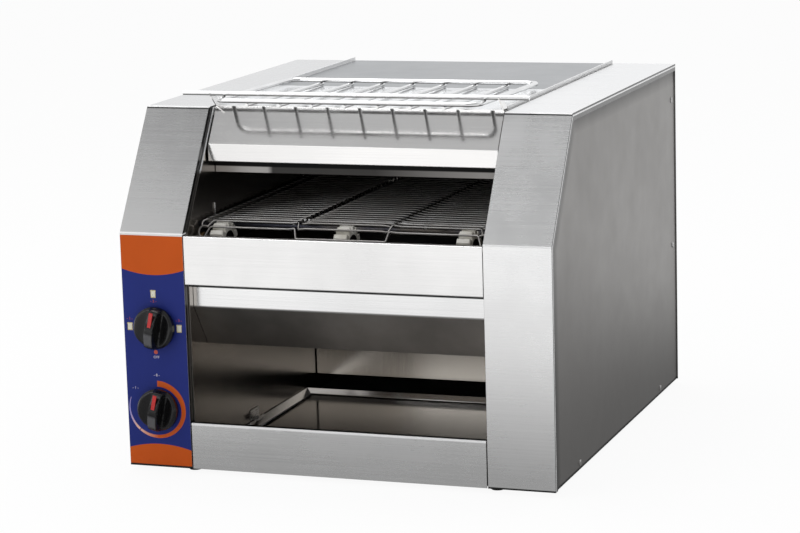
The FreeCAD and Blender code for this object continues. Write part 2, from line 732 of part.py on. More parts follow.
def chain_outline(grow, x0, x1):
    # the solid inside an open-belt line round both chain sprockets, grown outwards
    r_big = chain_radius(DRIVEN_TEETH) + grow
    r_small = chain_radius(DRIVER_TEETH) + grow
    dy = REAR_SHAFT_Y - MOTOR_Y
    dz = SHAFT_Z - MOTOR_Z
    span = math.hypot(dy, dz)
    heading = math.atan2(dz, dy)
    lean = math.acos((r_small - r_big) / span)
    outline = []
    for centre_y, centre_z, radius, sign in ((MOTOR_Y, MOTOR_Z, r_small, 1),
                                             (REAR_SHAFT_Y, SHAFT_Z, r_big, 1),
                                             (REAR_SHAFT_Y, SHAFT_Z, r_big, -1),
                                             (MOTOR_Y, MOTOR_Z, r_small, -1)):
        turn = heading + sign * lean
        outline.append((centre_y + radius * math.cos(turn), centre_z + radius * math.sin(turn)))
    middle = prism_x(outline, x0, x1)
    small_end = rod_x(x0, x1, MOTOR_Y, MOTOR_Z, r_small)
    big_end = rod_x(x0, x1, REAR_SHAFT_Y, SHAFT_Z, r_big)
    return fuse([middle, small_end, big_end])


def drive_chain():
    # one smooth closed band in place of the links
    band = chain_outline(CHAIN_OUTSIDE, CHAIN_X - CHAIN_HALF, CHAIN_X + CHAIN_HALF)
    return band.cut(chain_outline(CHAIN_INSIDE, CHAIN_X - CHAIN_HALF - 1, CHAIN_X + CHAIN_HALF + 1))


def gearbox():
    x0, x1 = GEARBOX_X
    case = box(x0, x1, MOTOR_Y - 26, MOTOR_Y + 26, MOTOR_Z - 34, MOTOR_Z + 24)
    case = round_edges(case, 3.0, lambda edge: edge.BoundBox.XLength > 10)
    return case.cut(rod_x(x0 + 3, x1 + 1, MOTOR_Y, MOTOR_Z, OUTPUT_RADIUS + RUNNING_CLEARANCE))


def drive_motor():
    # small motor standing in front of the gearbox, its axis along the depth
    z = MOTOR_Z - CAN_DROP
    can = rod_y(CAN_X, MOTOR_Y - 124, MOTOR_Y - 54, z, CAN_RADIUS)
    can = round_edges(can, 2.5, lambda edge: edge.BoundBox.YLength < 0.01)
    nose = rod_y(CAN_X, MOTOR_Y - 54, MOTOR_Y - 30, z, 11.0)
    foot = box(GEARBOX_X[0] + 3, 186, MOTOR_Y - 54, MOTOR_Y - 26, MOTOR_Z - 33, MOTOR_Z - 7)
    return fuse([can, nose, foot])


def motor_bracket():
    # plate that carries the gearbox on the outside of the chamber wall
    wall_face = WALL_INNER + WALL_SHEET
    plate = box(wall_face, GEARBOX_X[0], MOTOR_Y - 44, MOTOR_Y + 44, MOTOR_Z - 52, MOTOR_Z + 42)
    for y in (MOTOR_Y - 36, MOTOR_Y + 36):
        for z in (MOTOR_Z - 44, MOTOR_Z + 34):
            plate = plate.cut(rod_x(wall_face - 1, GEARBOX_X[0] + 1, y, z, 2.2))
    return plate


def motor_shaft():
    return rod_x(GEARBOX_X[0] + 4, CHAIN_X + 8, MOTOR_Y, MOTOR_Z, OUTPUT_RADIUS)


def control_overlay():
    # thin printed facing on the left column's upright face
    x0 = -WIDTH / 2 + OVERLAY_MARGIN
    x1 = -OPENING_HALF - OVERLAY_MARGIN
    sheet = box(x0, x1, -OVERLAY_SHEET, 0, 1.0, KNEE_Z - 2.0)
    for z in (SELECTOR_Z, SPEED_Z):
        sheet = sheet.cut(rod_y(KNOB_X, -1, 1, z, SPINDLE_HOLE))
    return sheet


def knob(z):
    # domed disc with a raised grip bar across it
    skirt = rod_y(KNOB_X, -8.0, -1.6, z, KNOB_RADIUS)
    dome = Part.makeCone(KNOB_RADIUS - 1.5, KNOB_RADIUS - 8.0, 4.0, V(KNOB_X, -8.0, z), V(0, -1, 0))
    grip = box(KNOB_X - GRIP_HALF, KNOB_X + GRIP_HALF, -KNOB_PROUD, -6.0, z - GRIP_REACH, z + GRIP_REACH)
    grip = round_edges(grip, 3.0, lambda edge: edge.BoundBox.YLength > 10)
    grip = grip.cut(pointer_block(z, 1.0))
    body = fuse([skirt, dome, grip])
    body = body.cut(rod_y(KNOB_X, -14, 0, z, SPINDLE_RADIUS))
    body.rotate(V(KNOB_X, 0, z), V(0, 1, 0), KNOB_TILT)
    return body


def pointer_block(z, proud):
    half, deep, low, high = POINTER
    return box(KNOB_X - half, KNOB_X + half, -KNOB_PROUD - proud, -KNOB_PROUD + deep, z + low, z + high)


def knob_pointer(z):
    insert = pointer_block(z, 0.0)
    insert.rotate(V(KNOB_X, 0, z), V(0, 1, 0), KNOB_TILT)
    return insert


def knob_spindle(z):
    return rod_y(KNOB_X, -14, 20, z, SPINDLE_RADIUS)


def switch_body(z, width, depth):
    # body behind the casing with its threaded neck; the spindle turns in its bore
    half = width / 2
    case = box(KNOB_X - half, KNOB_X + half, SWITCH_Y, SWITCH_Y + depth, z - half, z + half)
    case = round_edges(case, 3.0, lambda edge: edge.BoundBox.YLength > 10)
    neck = rod_y(KNOB_X, 0.2, SWITCH_Y, z, SPINDLE_HOLE - 0.2)
    body = fuse([case, neck])
    return body.cut(rod_y(KNOB_X, -1, 20.5, z, SPINDLE_RADIUS + RUNNING_CLEARANCE))


def speed_board():
    # circuit board of the speed controller, standing beside its potentiometer
    face = BOARD_Y[1]
    board = box(-226, -178, BOARD_Y[0], face, 34, 104)
    parts = [board]
    for x, z, radius, height in ((-214, 48, 6, 16), (-196, 92, 5, 12), (-187, 50, 4, 10)):
        parts.append(rod_y(x, face, face + height, z, radius))
    parts.append(box(-212, -192, face, face + 10, 62, 82))
    return fuse(parts)


def terminal_block():
    block = box(-228, -178, 452, 472, SHEET, 26)
    for k in range(5):
        x = -223 + k * 10
        block = block.cut(rod_z(x, 462, 14, 30, 3.2))
    return block


def rack_path(half, front, rear, radius, z):
    # rounded rectangle in the rack's own level plane
    arcs = []
    x, y0, y1, r = half, front, rear, radius
    corners = [(x - r, y0 + r, -90), (x - r, y1 - r, 0), (-x + r, y1 - r, 90), (-x + r, y0 + r, 180)]
    for cx, cy, start in corners:
        a, b, c = [math.radians(start + extra) for extra in (0, 45, 90)]
        arc = [V(cx + r * math.cos(t), cy + r * math.sin(t), z) for t in (a, b, c)]
        arcs.append(arc)
    edges = []
    for index, arc in enumerate(arcs):
        edges.append(Part.Arc(*arc).toShape())
        following = arcs[(index + 1) % 4][0]
        edges.append(Part.LineSegment(arc[2], following).toShape())
    return Part.Wire(edges)


def warming_rack():
    # welded wire rack: rounded frame, bars under it and one long cross rod over it
    frame_z = CROSS_ROD_Z - RACK_WIRE
    bar_z = frame_z - (RACK_WIRE + RACK_BAR) / 2 + 0.3
    path = rack_path(RACK_HALF, RACK_FRONT, RACK_REAR, RACK_CORNER, frame_z)
    start = path.Edges[1].firstVertex().Point
    heading = path.Edges[1].tangentAt(path.Edges[1].FirstParameter)
    ring = Part.Wire(Part.Circle(start, heading, RACK_WIRE / 2).toShape())
    ordered = Part.Wire(Part.__sortEdges__(path.Edges[1:] + path.Edges[:1]))
    frame = ordered.makePipeShell([ring], True, True)
    parts = [frame]
    spacing = 2 * RACK_HALF / (RACK_BARS + 1)
    for k in range(1, RACK_BARS + 1):
        x = -RACK_HALF + k * spacing
        parts.append(rod_y(x, RACK_FRONT - 2.5, RACK_REAR + 2.5, bar_z, RACK_BAR / 2))
    parts.append(rod_x(-CROSS_ROD_HALF, CROSS_ROD_HALF, CROSS_ROD_Y, CROSS_ROD_Z - 0.05, RACK_WIRE / 2))
    rack = fuse(parts)
    rack.rotate(V(0, CROSS_ROD_Y, CROSS_ROD_Z), V(1, 0, 0), -RACK_PITCH_DEG)
    return rack


def crumb_tray():
    # shallow pan with sloping side rims, an upright rear rim and a rounded fold at their feet
    y0, y1 = SHEET, TRAY_REAR
    z0, z1 = TRAY_FLOOR_Z, TRAY_RIM_Z
    slope = TRAY_RIM_SLOPE
    outer = frustum(-TRAY_HALF + slope, TRAY_HALF - slope, y0, y1 - TRAY_REAR_SLOPE, z0,
                    -TRAY_HALF, TRAY_HALF, y0, y1, z1)
    wide = TRAY_HALF - TRAY_SHEET
    narrow = wide - slope
    rear = y1 - TRAY_SHEET
    floor = z0 + THIN_SHEET
    inner = frustum(-narrow, narrow, y0 - 5, rear - TRAY_REAR_SLOPE, floor,
                    -wide, wide, y0 - 5, rear, z1 + 0.01)
    folds = [e for e in inner.Edges
             if abs(e.BoundBox.ZMax - floor) < 0.01 and e.BoundBox.YMax > y1 / 2]
    pan = outer.cut(inner.makeFillet(TRAY_BEND, folds))
    front = box(-TRAY_HALF + slope, TRAY_HALF - slope, y0, y0 + THIN_SHEET, z0, z0 + TRAY_INNER_FRONT)
    return fuse([pan, front])


def frustum(x0, x1, y0, y1, z0, u0, u1, v0, v1, z1):
    lower = rectangle(x0, x1, y0, y1, z0)
    upper = rectangle(u0, u1, v0, v1, z1)
    return Part.makeLoft([lower, upper], True, True)


def tray_front():
    # front plate of the tray, folded back along its top edge, standing flush between the columns
    half = OPENING_HALF - 1.2
    top = LOWER_PANEL_TOP
    outline = [(0, 0.2), (0, top), (PANEL_FLANGE, top), (PANEL_FLANGE, top - SHEET),
               (SHEET, top - SHEET), (SHEET, 0.2)]
    panel = prism_x(outline, -half, half)
    return round_edges(panel, FOLD_RADIUS, along_x_at([(0, top)]))


def add(name, shape):
    moved = shape.copy()
    moved.translate(V(0, -FRONT_TO_MIDDLE, FOOT_HEIGHT))
    nodes[name] = moved


def build():
    casing = column_casing()
    left = casing
    for z in (SELECTOR_Z, SPEED_Z):
        left = left.cut(rod_y(KNOB_X, -5, 5, z, SPINDLE_HOLE))
    add("left_casing", left)
    add("right_casing", mirrored(casing))
    panel = side_panel()
    add("left_side_panel", panel)
    add("right_side_panel", mirrored(panel))
    wall = chamber_wall()
    add("left_chamber_wall", wall)
    add("right_chamber_wall", mirrored(wall))
    add("front_cross_panel", front_cross_panel())
    add("hood_panel", hood_panel())
    deck_front = slant_y(HEIGHT, HOOD_INSET) + HOOD_TOP_FLANGE + 0.4
    add("rack_deck", top_plate(deck_front, DECK_REAR))
    add("top_cover", top_plate(DECK_REAR + 0.8, DEPTH - SHEET - 0.2))
    add("upper_reflector", heater_box())
    add("front_deflector", deflector())
    add("belt_underpan", belt_underpan())
    add("lower_reflector", lower_reflector())
    add("toast_chute", toast_chute())
    add("base_pan", base_pan())
    add("rear_panel", rear_panel())
    add("cover_screws", cover_screws())
    add("rubber_feet", feet())
    add("foot_screws", foot_screws())
    add("cable_gland", cable_gland())
    add("terminal_block", terminal_block())
    add("bread_guide_pins", guide_pins())
    add("tray_clips", tray_clips())
    add("shaft_bushes", bushes())
    add("belt_support_frame", belt_support())
    add("belt_upper_run", belt_run(SHAFT_Z + BELT_RADIUS))
    add("belt_lower_run", belt_run(SHAFT_Z - BELT_RADIUS))
    add("belt_front_turn", belt_turn(FRONT_SHAFT_Y, -1))
    add("belt_rear_turn", belt_turn(REAR_SHAFT_Y, 1))
    add("front_shaft", shaft(FRONT_SHAFT_Y, WALL_INNER + 14.0))
    add("front_shaft_collars", shaft_collars(FRONT_SHAFT_Y))
    add("front_belt_sprockets", belt_sprockets(FRONT_SHAFT_Y, 15.0))
    add("drive_shaft", shaft(REAR_SHAFT_Y, CHAIN_X + 9.0))
    add("drive_shaft_collars", shaft_collars(REAR_SHAFT_Y))
    add("rear_belt_sprockets", belt_sprockets(REAR_SHAFT_Y, 15.0))
    add("driven_chain_wheel", chain_sprocket(REAR_SHAFT_Y, SHAFT_Z, DRIVEN_TEETH, SHAFT_RADIUS, 9.0))
    add("drive_chain", drive_chain())
    add("motor_chain_wheel", chain_sprocket(MOTOR_Y, MOTOR_Z, DRIVER_TEETH, OUTPUT_RADIUS, 5.5))
    add("gearbox_shaft", motor_shaft())
    add("gearbox", gearbox())
    add("drive_motor", drive_motor())
    add("motor_bracket", motor_bracket())
    upper = [(y, UPPER_ROD_Z) for y in UPPER_ROD_Y]
    lower = [(y, LOWER_ROD_Z) for y in LOWER_ROD_Y]
    add("upper_heating_rods", heating_rods(upper))
    add("lower_heating_rods", heating_rods(lower))
    add("rod_insulators", insulators())
    add("rod_terminals", rod_terminals())
    add("control_overlay", control_overlay())
    add("selector_switch", switch_body(SELECTOR_Z, 44, 34))
    add("speed_potentiometer", switch_body(SPEED_Z, 28, 20))
    add("speed_control_board", speed_board())
    add("selector_knob", knob(SELECTOR_Z))
    add("selector_pointer", knob_pointer(SELECTOR_Z))
    add("selector_spindle", knob_spindle(SELECTOR_Z))
    add("speed_knob", knob(SPEED_Z))
    add("speed_pointer", knob_pointer(SPEED_Z))
    add("speed_spindle", knob_spindle(SPEED_Z))
    add("crumb_tray", crumb_tray())
    add("tray_front_panel", tray_front())
    add("warming_rack", warming_rack())


build()
os.makedirs("parts", exist_ok=True)
for name, shape in nodes.items():
    if not shape.isValid():
        print("invalid", name)
    shape.exportStep("parts/" + name + ".step")
low = FreeCAD.BoundBox()
for shape in nodes.values():
    low.add(shape.BoundBox)
print(len(nodes), "nodes", "box", round(low.XMin, 2), round(low.XMax, 2), round(low.YMin, 2),
      round(low.YMax, 2), round(low.ZMin, 2), round(low.ZMax, 2))
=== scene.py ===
import json
import math
from functools import partial

import bmesh
import bpy
from mathutils import Matrix, Vector


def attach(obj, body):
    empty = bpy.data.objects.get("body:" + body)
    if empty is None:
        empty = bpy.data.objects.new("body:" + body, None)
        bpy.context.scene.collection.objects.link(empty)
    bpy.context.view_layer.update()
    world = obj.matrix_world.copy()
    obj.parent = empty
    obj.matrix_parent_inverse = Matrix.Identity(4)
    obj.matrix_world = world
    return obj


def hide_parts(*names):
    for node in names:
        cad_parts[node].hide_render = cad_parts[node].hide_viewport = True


# Looks of the conveyor toaster. Named sizes are in millimetres, +Z is up and the front faces -Y.

MM = 0.001
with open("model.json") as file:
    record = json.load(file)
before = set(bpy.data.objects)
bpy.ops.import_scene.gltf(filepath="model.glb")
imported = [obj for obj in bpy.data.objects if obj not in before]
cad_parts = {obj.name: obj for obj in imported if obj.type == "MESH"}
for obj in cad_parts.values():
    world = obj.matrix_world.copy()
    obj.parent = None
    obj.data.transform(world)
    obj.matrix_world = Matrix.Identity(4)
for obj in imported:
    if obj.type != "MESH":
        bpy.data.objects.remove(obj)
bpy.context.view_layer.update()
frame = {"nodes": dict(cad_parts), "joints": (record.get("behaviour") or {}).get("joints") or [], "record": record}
nodes = frame["nodes"]
centres = {joint["name"]: [v / MM for v in joint["pos_m"]] for joint in frame["joints"] if "pos_m" in joint}

# The casing's outline from the side: front face, underside, knee, top and the slant's run back
FRONT = -258.0
BASE = 5.0
KNEE = 255.5 + BASE
TOP = 381.0 + BASE
SETBACK = 84.0
LEAN = math.atan2(SETBACK, TOP - KNEE)

# Painted highlights and painted shade along folds and edges of the sheets; four values are a strip's two soft
# edges
SLANT = (KNEE, KNEE + 1.0, TOP - 1.5, TOP - 0.9)
CREST_SHADOW = (TOP - 2.6, TOP - 2.0, TOP - 1.2, TOP - 0.9)
CREST_BACK = FRONT + SETBACK + 4.0
KNEE_LINE = (KNEE - 0.6, KNEE - 0.2, KNEE + 1.0, KNEE + 1.4)
FLANGE_SIDE = 239.9
FLANGE_LINE = (1.9, 2.1, 3.3, 3.7)
MOUTH_SIDE = 167.1
UPSTAND_SIDE = 162.6
WALL_EDGE = 9.9
WALL_EDGE_FOOT = 320.0
TRAY_PANEL_TOP = 50.5 + BASE
TRAY_FOLD = (156.9, 157.2, 158.6, 158.9)
TRAY_FLOOR = 11.8
DEFLECTOR_BEND = 180.0
DEFLECTOR_SHADE_LINE = 201.0
REFLECTOR_DARK_LINE = -101.0
REFLECTOR_SHADE = 321.1

# Share of painted shade by which each casing's slant is darkened
LEFT_SLANT_SHADE = 0.48
RIGHT_SLANT_SHADE = 0.22

# Overlay and its print: band heights are at the middle, bows are at the sides
OVERLAY_FACE = FRONT - 0.4
OVERLAY_MIDDLE = -203.5
OVERLAY_HALF = 36.2
UPPER_BAND = 211.0 + BASE
UPPER_BOW = 6.0
LOWER_BAND = 25.4 + BASE
LOWER_BOW = -5.4
BREAD_MARKS = ((-204.0, 190.4), (-232.8, 154.0), (-175.2, 153.7))
OFF_DOT = (-203.8, 126.8)
OFF_DOT_RADIUS = 2.3
ARC_CENTRE = (-205.0, 63.6)
ARC_RADII = (33.3, 31.8)
ARC_START = 157
ARC_BREAK = (228, 229.5)
ARC_END = 448
ARC_WIDTH = (0.5, 6.6)

# Knobs
KNOB_X = centres["selector_turn"][0]
SELECTOR_Z = centres["selector_turn"][2]
SPEED_Z = centres["speed_turn"][2]
KNOB_TILT = math.radians(12)
KNOB_RADIUS = 23.0
KNOB_HEIGHT = 20.4
KNOB_LIFT = -1.6
KNOB_CROWN = 0.018
SCOOP_HEIGHT = 7.2
SCOOP_RISE = 3.4
GRIP_HALF = 4.6
GRIP_HIGHLIGHT = (-19.5, -16.0, -6.0, -3.0)

# Wire belt
PITCH = 12.7
PITCHES_PER_RUN = 28
PITCHES_PER_TURN = 6
PITCHES_ROUND = 2 * (PITCHES_PER_RUN + PITCHES_PER_TURN)
BELT_RADIUS = PITCH / (2 * math.sin(math.pi / (2 * PITCHES_PER_TURN)))
BELT_PHASE = 0.22
FRONT_SHAFT = centres["front_shaft_spin"][1:]
REAR_SHAFT = centres["drive_spin"][1:]
WIRE_RADIUS = 1.08
WIRE_LIFT = WIRE_RADIUS + 0.06
WIRE_BEND = 1.6
LANE_EDGE = 52.7
BELT_EDGE = 162.1

# Belt wheels
WHEEL_X = (-142.5, -1.0, 135.0)
WHEEL_BORE = 6.05
WHEEL_HUB = 13.0
HUB_HALF = 5.5
WHEEL_TIP = 23.1
WHEEL_HALF = 7.4

# Screws: (along, radius) down the head and shank, then the recess inside and outside the cross's arms
SCREW_LINE = ((-1.25, 1.6), (-1.1, 2.7), (-0.75, 3.35), (-0.2, 3.6), (0.0, 3.55), (0.0, 1.9), (7.0, 1.9))
RECESS_RIM = ((-1.24, 1.45), (-1.28, 0.55))
RECESS_FOOT = ((-0.4, 1.0), (-0.4, 0.35))
RECESS_FLOOR = -0.3
ARM_WIDTH = 0.45
SIDE_X = 238.6
SIDE_SCREWS = ((96.0, 7.0), (442.0, 7.0), (508.0, 167.0), (508.0, 340.0))
REAR_Y = 266.0
REAR_SCREW_X = (-228.0, 0.0, 228.0)
REAR_SCREW_Z = (14.0, 366.0)

# Stage, in metres: (from, to) from the object and the floor's brightness there in the object's reflections
FLOOR_HALF = 14.0
FLOOR_DROP = 0.0002
FLOOR_MIRROR = (0.35, 1.2, 0.30, 1.02)
FLOOR_SHARE = 0.93
# (from, to) in the direction's Y, and the room's brightness there
ROOM = (-0.35, 0.55, 0.45, 0.90)
LIGHT_TARGET = (0, 0, 0.2)
CAMERA_PLACE = (0.99403, -2.78788, 0.74927)
CAMERA_TURNS = (("Z", 0.3477), ("X", -0.1886), ("Y", 0.0290))
CAMERA_LENS = 119.74


# Colours and node helpers

def linear(code):
    # a hex colour as linear red, green, blue and alpha
    values = []
    for k in (0, 2, 4):
        v = int(code[k:k + 2], 16) / 255
        values.append(v / 12.92 if v <= 0.04045 else ((v + 0.055) / 1.055) ** 2.4)
    return (*values, 1.0)


def grey(value, warm=0.0):
    return (value * (1 + warm), value, value * (1 - warm), 1.0)


def dimmed(colour, share):
    return tuple(c * share for c in colour[:3]) + (1.0,)


ORANGE = linear("CF5A1C")
BLUE = linear("27337E")


class Nodes:
    """A node tree with short ways to add and join its nodes."""

    def __init__(self, tree, coordinates):
        self.tree = tree
        self.place = self.add("ShaderNodeTexCoord").outputs[coordinates]

    def add(self, kind, **settings):
        node = self.tree.nodes.new(kind)
        for key, value in settings.items():
            setattr(node, key, value)
        return node

    def join(self, source, target):
        self.tree.links.new(source, target)

    def feed(self, target, value):
        # a number or colour is set on the socket, and an output is joined to it
        if isinstance(value, (int, float, tuple)):
            target.default_value = value
        else:
            self.join(value, target)

    def noise(self, scale, detail=3.0, stretch=(1, 1, 1), roughness=0.5):
        mapping = self.add("ShaderNodeMapping")
        mapping.inputs["Scale"].default_value = stretch
        self.join(self.place, mapping.inputs["Vector"])
        node = self.add("ShaderNodeTexNoise")
        node.inputs["Scale"].default_value = scale
        node.inputs["Detail"].default_value = detail
        node.inputs["Roughness"].default_value = roughness
        self.join(mapping.outputs["Vector"], node.inputs["Vector"])
        return node.outputs["Fac"]

    def spread(self, value, low, high, start=0.3, end=0.7, curve="LINEAR"):
        # low at start and high at end, which are in the value's own units
        node = self.add("ShaderNodeMapRange", interpolation_type=curve)
        node.inputs["From Min"].default_value = start
        node.inputs["From Max"].default_value = end
        node.inputs["To Min"].default_value = low
        node.inputs["To Max"].default_value = high
        self.join(value, node.inputs["Value"])
        return node.outputs["Result"]

    def step(self, value, start, end):
        # 0 at start and 1 at end, both in millimetres; start may be the higher one
        return self.spread(value, 0, 1, start * MM, end * MM)

    def above(self, value, place, soft):
        # 1 above place and 0 below it, over an edge of that half width
        return self.step(value, place - soft, place + soft)

    def under(self, value, place, soft):
        return self.step(value, place + soft, place - soft)

    def strip(self, value, low, full_low, full_high, high):
        # 0 below low and above high, 1 between the two full values
        return self.both(self.step(value, low, full_low), self.step(value, high, full_high))

    def math(self, operation, a, b=0.0):
        node = self.add("ShaderNodeMath", operation=operation)
        self.feed(node.inputs[0], a)
        self.feed(node.inputs[1], b)
        return node.outputs["Value"]

    def both(self, a, b):
        return self.math("MULTIPLY", a, b)

    def mix(self, factor, a, b):
        node = self.add("ShaderNodeMix", data_type="RGBA")
        self.feed(node.inputs[0], factor)
        self.feed(node.inputs[6], a)
        self.feed(node.inputs[7], b)
        return node.outputs[2]

    def blend(self, factor, first, second):
        # a shader between two shaders
        node = self.add("ShaderNodeMixShader")
        self.join(factor, node.inputs[0])
        self.join(first, node.inputs[1])
        self.join(second, node.inputs[2])
        return node.outputs[0]

    def axis(self, name, source=None):
        node = self.add("ShaderNodeSeparateXYZ")
        self.join(source or self.place, node.inputs[0])
        return node.outputs[name]


class Shade(Nodes):
    """A material built round its Principled shader."""

    def __init__(self, name):
        self.material = bpy.data.materials.new(name)
        self.material.use_nodes = True
        super().__init__(self.material.node_tree, "Object")
        self.shader = self.tree.nodes["Principled BSDF"]

    def put(self, **values):
        for key, value in values.items():
            self.shader.inputs[key.replace("_", " ")].default_value = value

    def inset(self):
        # depth behind the casing's front, slant and top, whichever is the least
        y, z = self.axis("Y"), self.axis("Z")
        front = self.math("SUBTRACT", y, FRONT * MM)
        across = self.math("MULTIPLY", front, math.cos(LEAN))
        up = self.math("MULTIPLY", self.math("SUBTRACT", z, KNEE * MM), math.sin(LEAN))
        slant = self.math("SUBTRACT", across, up)
        top = self.math("SUBTRACT", TOP * MM, z)
        return self.math("MINIMUM", self.math("MINIMUM", front, slant), top)

    def painted_highlight(self, mask, tone):
        # painted highlight where the mask is 1: pale and not metallic, so it scatters light instead of mirroring
        # it
        self.join(self.math("SUBTRACT", 1.0, mask), self.shader.inputs["Metallic"])
        return self.mix(mask, tone, grey(0.95))

    def colour(self, value):
        self.join(value, self.shader.inputs["Base Color"])

    def roughness(self, value):
        self.join(value, self.shader.inputs["Roughness"])

    def bump(self, height, depth, strength=0.5, edge=0.0):
        # height in 0..1 stands for depth metres; edge softens sharp edges by that radius
        node = self.add("ShaderNodeBump")
        node.inputs["Strength"].default_value = strength
        node.inputs["Distance"].default_value = depth
        self.join(height, node.inputs["Height"])
        if edge:
            soft = self.add("ShaderNodeBevel", samples=4)
            soft.inputs["Radius"].default_value = edge
            self.join(soft.outputs["Normal"], node.inputs["Normal"])
        self.join(node.outputs["Normal"], self.shader.inputs["Normal"])


def metal(name):
    s = Shade(name)
    s.put(Metallic=1.0)
    return s


# Sheet metal: a grain is the noise's stretch along X, Y and Z, and the soft edge is in metres

ALONG_X = (5, 900, 900)
ALONG_Y = (900, 5, 900)
ALONG_Z = (900, 900, 5)
UPRIGHT = (900, 5, 5)
SOFT_EDGE = 0.0006


def steel(name, value, rough, grain=ALONG_X, warm=0.01, depth=0.00001, clouds=0.06, marks=None):
    # brushed sheet; marks(shade, tone) may paint highlights and shade along folds and edges over the tone
    s = metal(name)
    lines = s.noise(1.0, 4.0, grain, 0.7)
    cloud = s.noise(6.0, 3.0)
    smear = s.noise(38.0, 2.0)
    tone = s.mix(s.spread(lines, 0, 1), grey(value * 0.95, warm), grey(min(value * 1.04, 1), warm))
    tone = s.mix(s.spread(cloud, 0.0, clouds), tone, grey(value * 0.6, warm + 0.02))
    if marks:
        tone = marks(s, tone)
    s.colour(tone)
    base = s.math("ADD", s.spread(lines, rough - 0.025, rough + 0.025), s.spread(cloud, -0.03, 0.04))
    s.roughness(s.math("ADD", base, s.spread(smear, -0.012, 0.02)))
    s.bump(lines, depth, 0.3, SOFT_EDGE)
    return s.material


def casing_light_and_shade(s, tone, dim):
    # painted shade: the casing's slant dimmed, its flanges dark, a dark line under the crest and along the foot;
    # painted highlights: pale lines along the crest, the knee and the side
    side = s.math("ABSOLUTE", s.axis("X"))
    y, z = s.axis("Y"), s.axis("Z")
    depth = s.inset()
    outside = s.step(side, FLANGE_SIDE, FLANGE_SIDE + 0.05)
    inside = s.step(side, MOUTH_SIDE + 0.05, MOUTH_SIDE)
    tone = s.mix(s.both(s.strip(z, *SLANT), dim), tone, grey(0.03))
    tone = s.mix(outside, tone, s.mix(s.step(depth, 3.3, 4.2), grey(0.03), grey(0.1)))
    tone = s.mix(inside, tone, s.mix(s.step(depth, 2.5, 5.0), grey(0.03), grey(0.12)))
    foot = s.step(z, BASE + 2.0, BASE + 1.6)
    tone = s.mix(s.math("MAXIMUM", s.strip(z, *CREST_SHADOW), foot), tone, grey(0.05))
    crest = s.both(s.step(z, TOP - 0.9, TOP - 0.7), s.under(y, CREST_BACK, 0.5))
    across = s.both(s.math("SUBTRACT", 1.0, outside), s.math("MAXIMUM", crest, s.strip(z, *KNEE_LINE)))
    line = s.both(outside, s.strip(depth, *FLANGE_LINE))
    return s.painted_highlight(s.math("MAXIMUM", line, across), tone)


def side_panel_shade(s, tone):
    # painted shade: a dark border on the side panels beside the casing's flange, and a dark line along their foot
    tone = s.mix(s.step(s.inset(), 7.0, 24.0), grey(0.07, 0.02), tone)
    return s.mix(s.step(s.axis("Z"), BASE + 3.0, BASE + 2.4), tone, grey(0.02))


def fold_highlight_and_shade(s, tone):
    # painted highlight along the tray panel's top fold, with a line of painted shade behind it
    y, z = s.axis("Y"), s.axis("Z")
    behind = s.both(s.step(z, TRAY_PANEL_TOP - 0.3, TRAY_PANEL_TOP - 0.2), s.above(y, FRONT + 1.6, 0.2))
    line = s.both(s.step(z, TRAY_PANEL_TOP - 2.6, TRAY_PANEL_TOP - 2.0), s.under(y, FRONT + 1.6, 0.2))
    return s.painted_highlight(line, s.mix(behind, tone, grey(0.05)))


def upstand_highlight(s, tone):
    # painted highlight on the upstands along both sides of the top sheets
    return s.painted_highlight(s.above(s.math("ABSOLUTE", s.axis("X")), UPSTAND_SIDE, 0.2), tone)


def hood_marks(s, tone):
    # slightly duller towards the left
    return s.mix(s.spread(s.axis("X"), 0.35, 0, -160 * MM, 0), tone, grey(0.6, 0.01))


def reflector_tone_and_shade(s, tone):
    # darker from a soft line left of the middle, paler again towards the right, and painted shade close under the
    # hood's lip
    x = s.axis("X")
    tone = s.mix(s.above(x, REFLECTOR_DARK_LINE, 3.0), tone, grey(0.05, 0.04))
    tone = s.mix(s.step(x, 20.0, 140.0), tone, grey(0.26, 0.04))
    return s.mix(s.above(s.axis("Z"), REFLECTOR_SHADE, 0.5), tone, grey(0.01))


def deflector_steel(name):
    # bright upright band, painted shade as a dark line under the cross panel, and a mottled slope below painted
    # dark as shade
    s = metal(name)
    lines = s.noise(1.0, 4.0, ALONG_X, 0.7)
    cloud = s.noise(9.0, 4.0)
    bright = s.mix(s.spread(lines, 0, 1), grey(0.88), grey(0.97))
    # the slope's dark tone is painted shade
    mottled_tone = s.mix(s.spread(cloud, 0, 1), grey(0.13, 0.06), grey(0.3, 0.06))
    band = s.above(s.axis("Z"), DEFLECTOR_BEND, 1.5)
    panel_shade = s.above(s.axis("Z"), DEFLECTOR_SHADE_LINE, 0.4)
    s.colour(s.mix(panel_shade, s.mix(band, mottled_tone, bright), grey(0.02)))
    s.roughness(s.math("ADD", s.spread(band, 0.34, 0.2, 0, 1), s.spread(cloud, -0.03, 0.05)))
    s.bump(lines, 0.00004, 0.35)
    return s.material


def chute_steel(name):
    # polished sheet with upright grain and a faint straw tint from the heat
    s = metal(name)
    lines = s.noise(1.0, 4.0, UPRIGHT, 0.7)
    cloud = s.noise(7.0, 4.0)
    tone = s.mix(s.spread(lines, 0, 1), (0.86, 0.81, 0.74, 1), (0.94, 0.90, 0.83, 1))
    s.colour(s.mix(s.spread(cloud, 0, 0.12), tone, (0.5, 0.44, 0.36, 1)))
    s.roughness(s.math("ADD", s.spread(lines, 0.15, 0.2), s.spread(cloud, -0.02, 0.03)))
    s.bump(lines, 0.00001, 0.3)
    return s.material


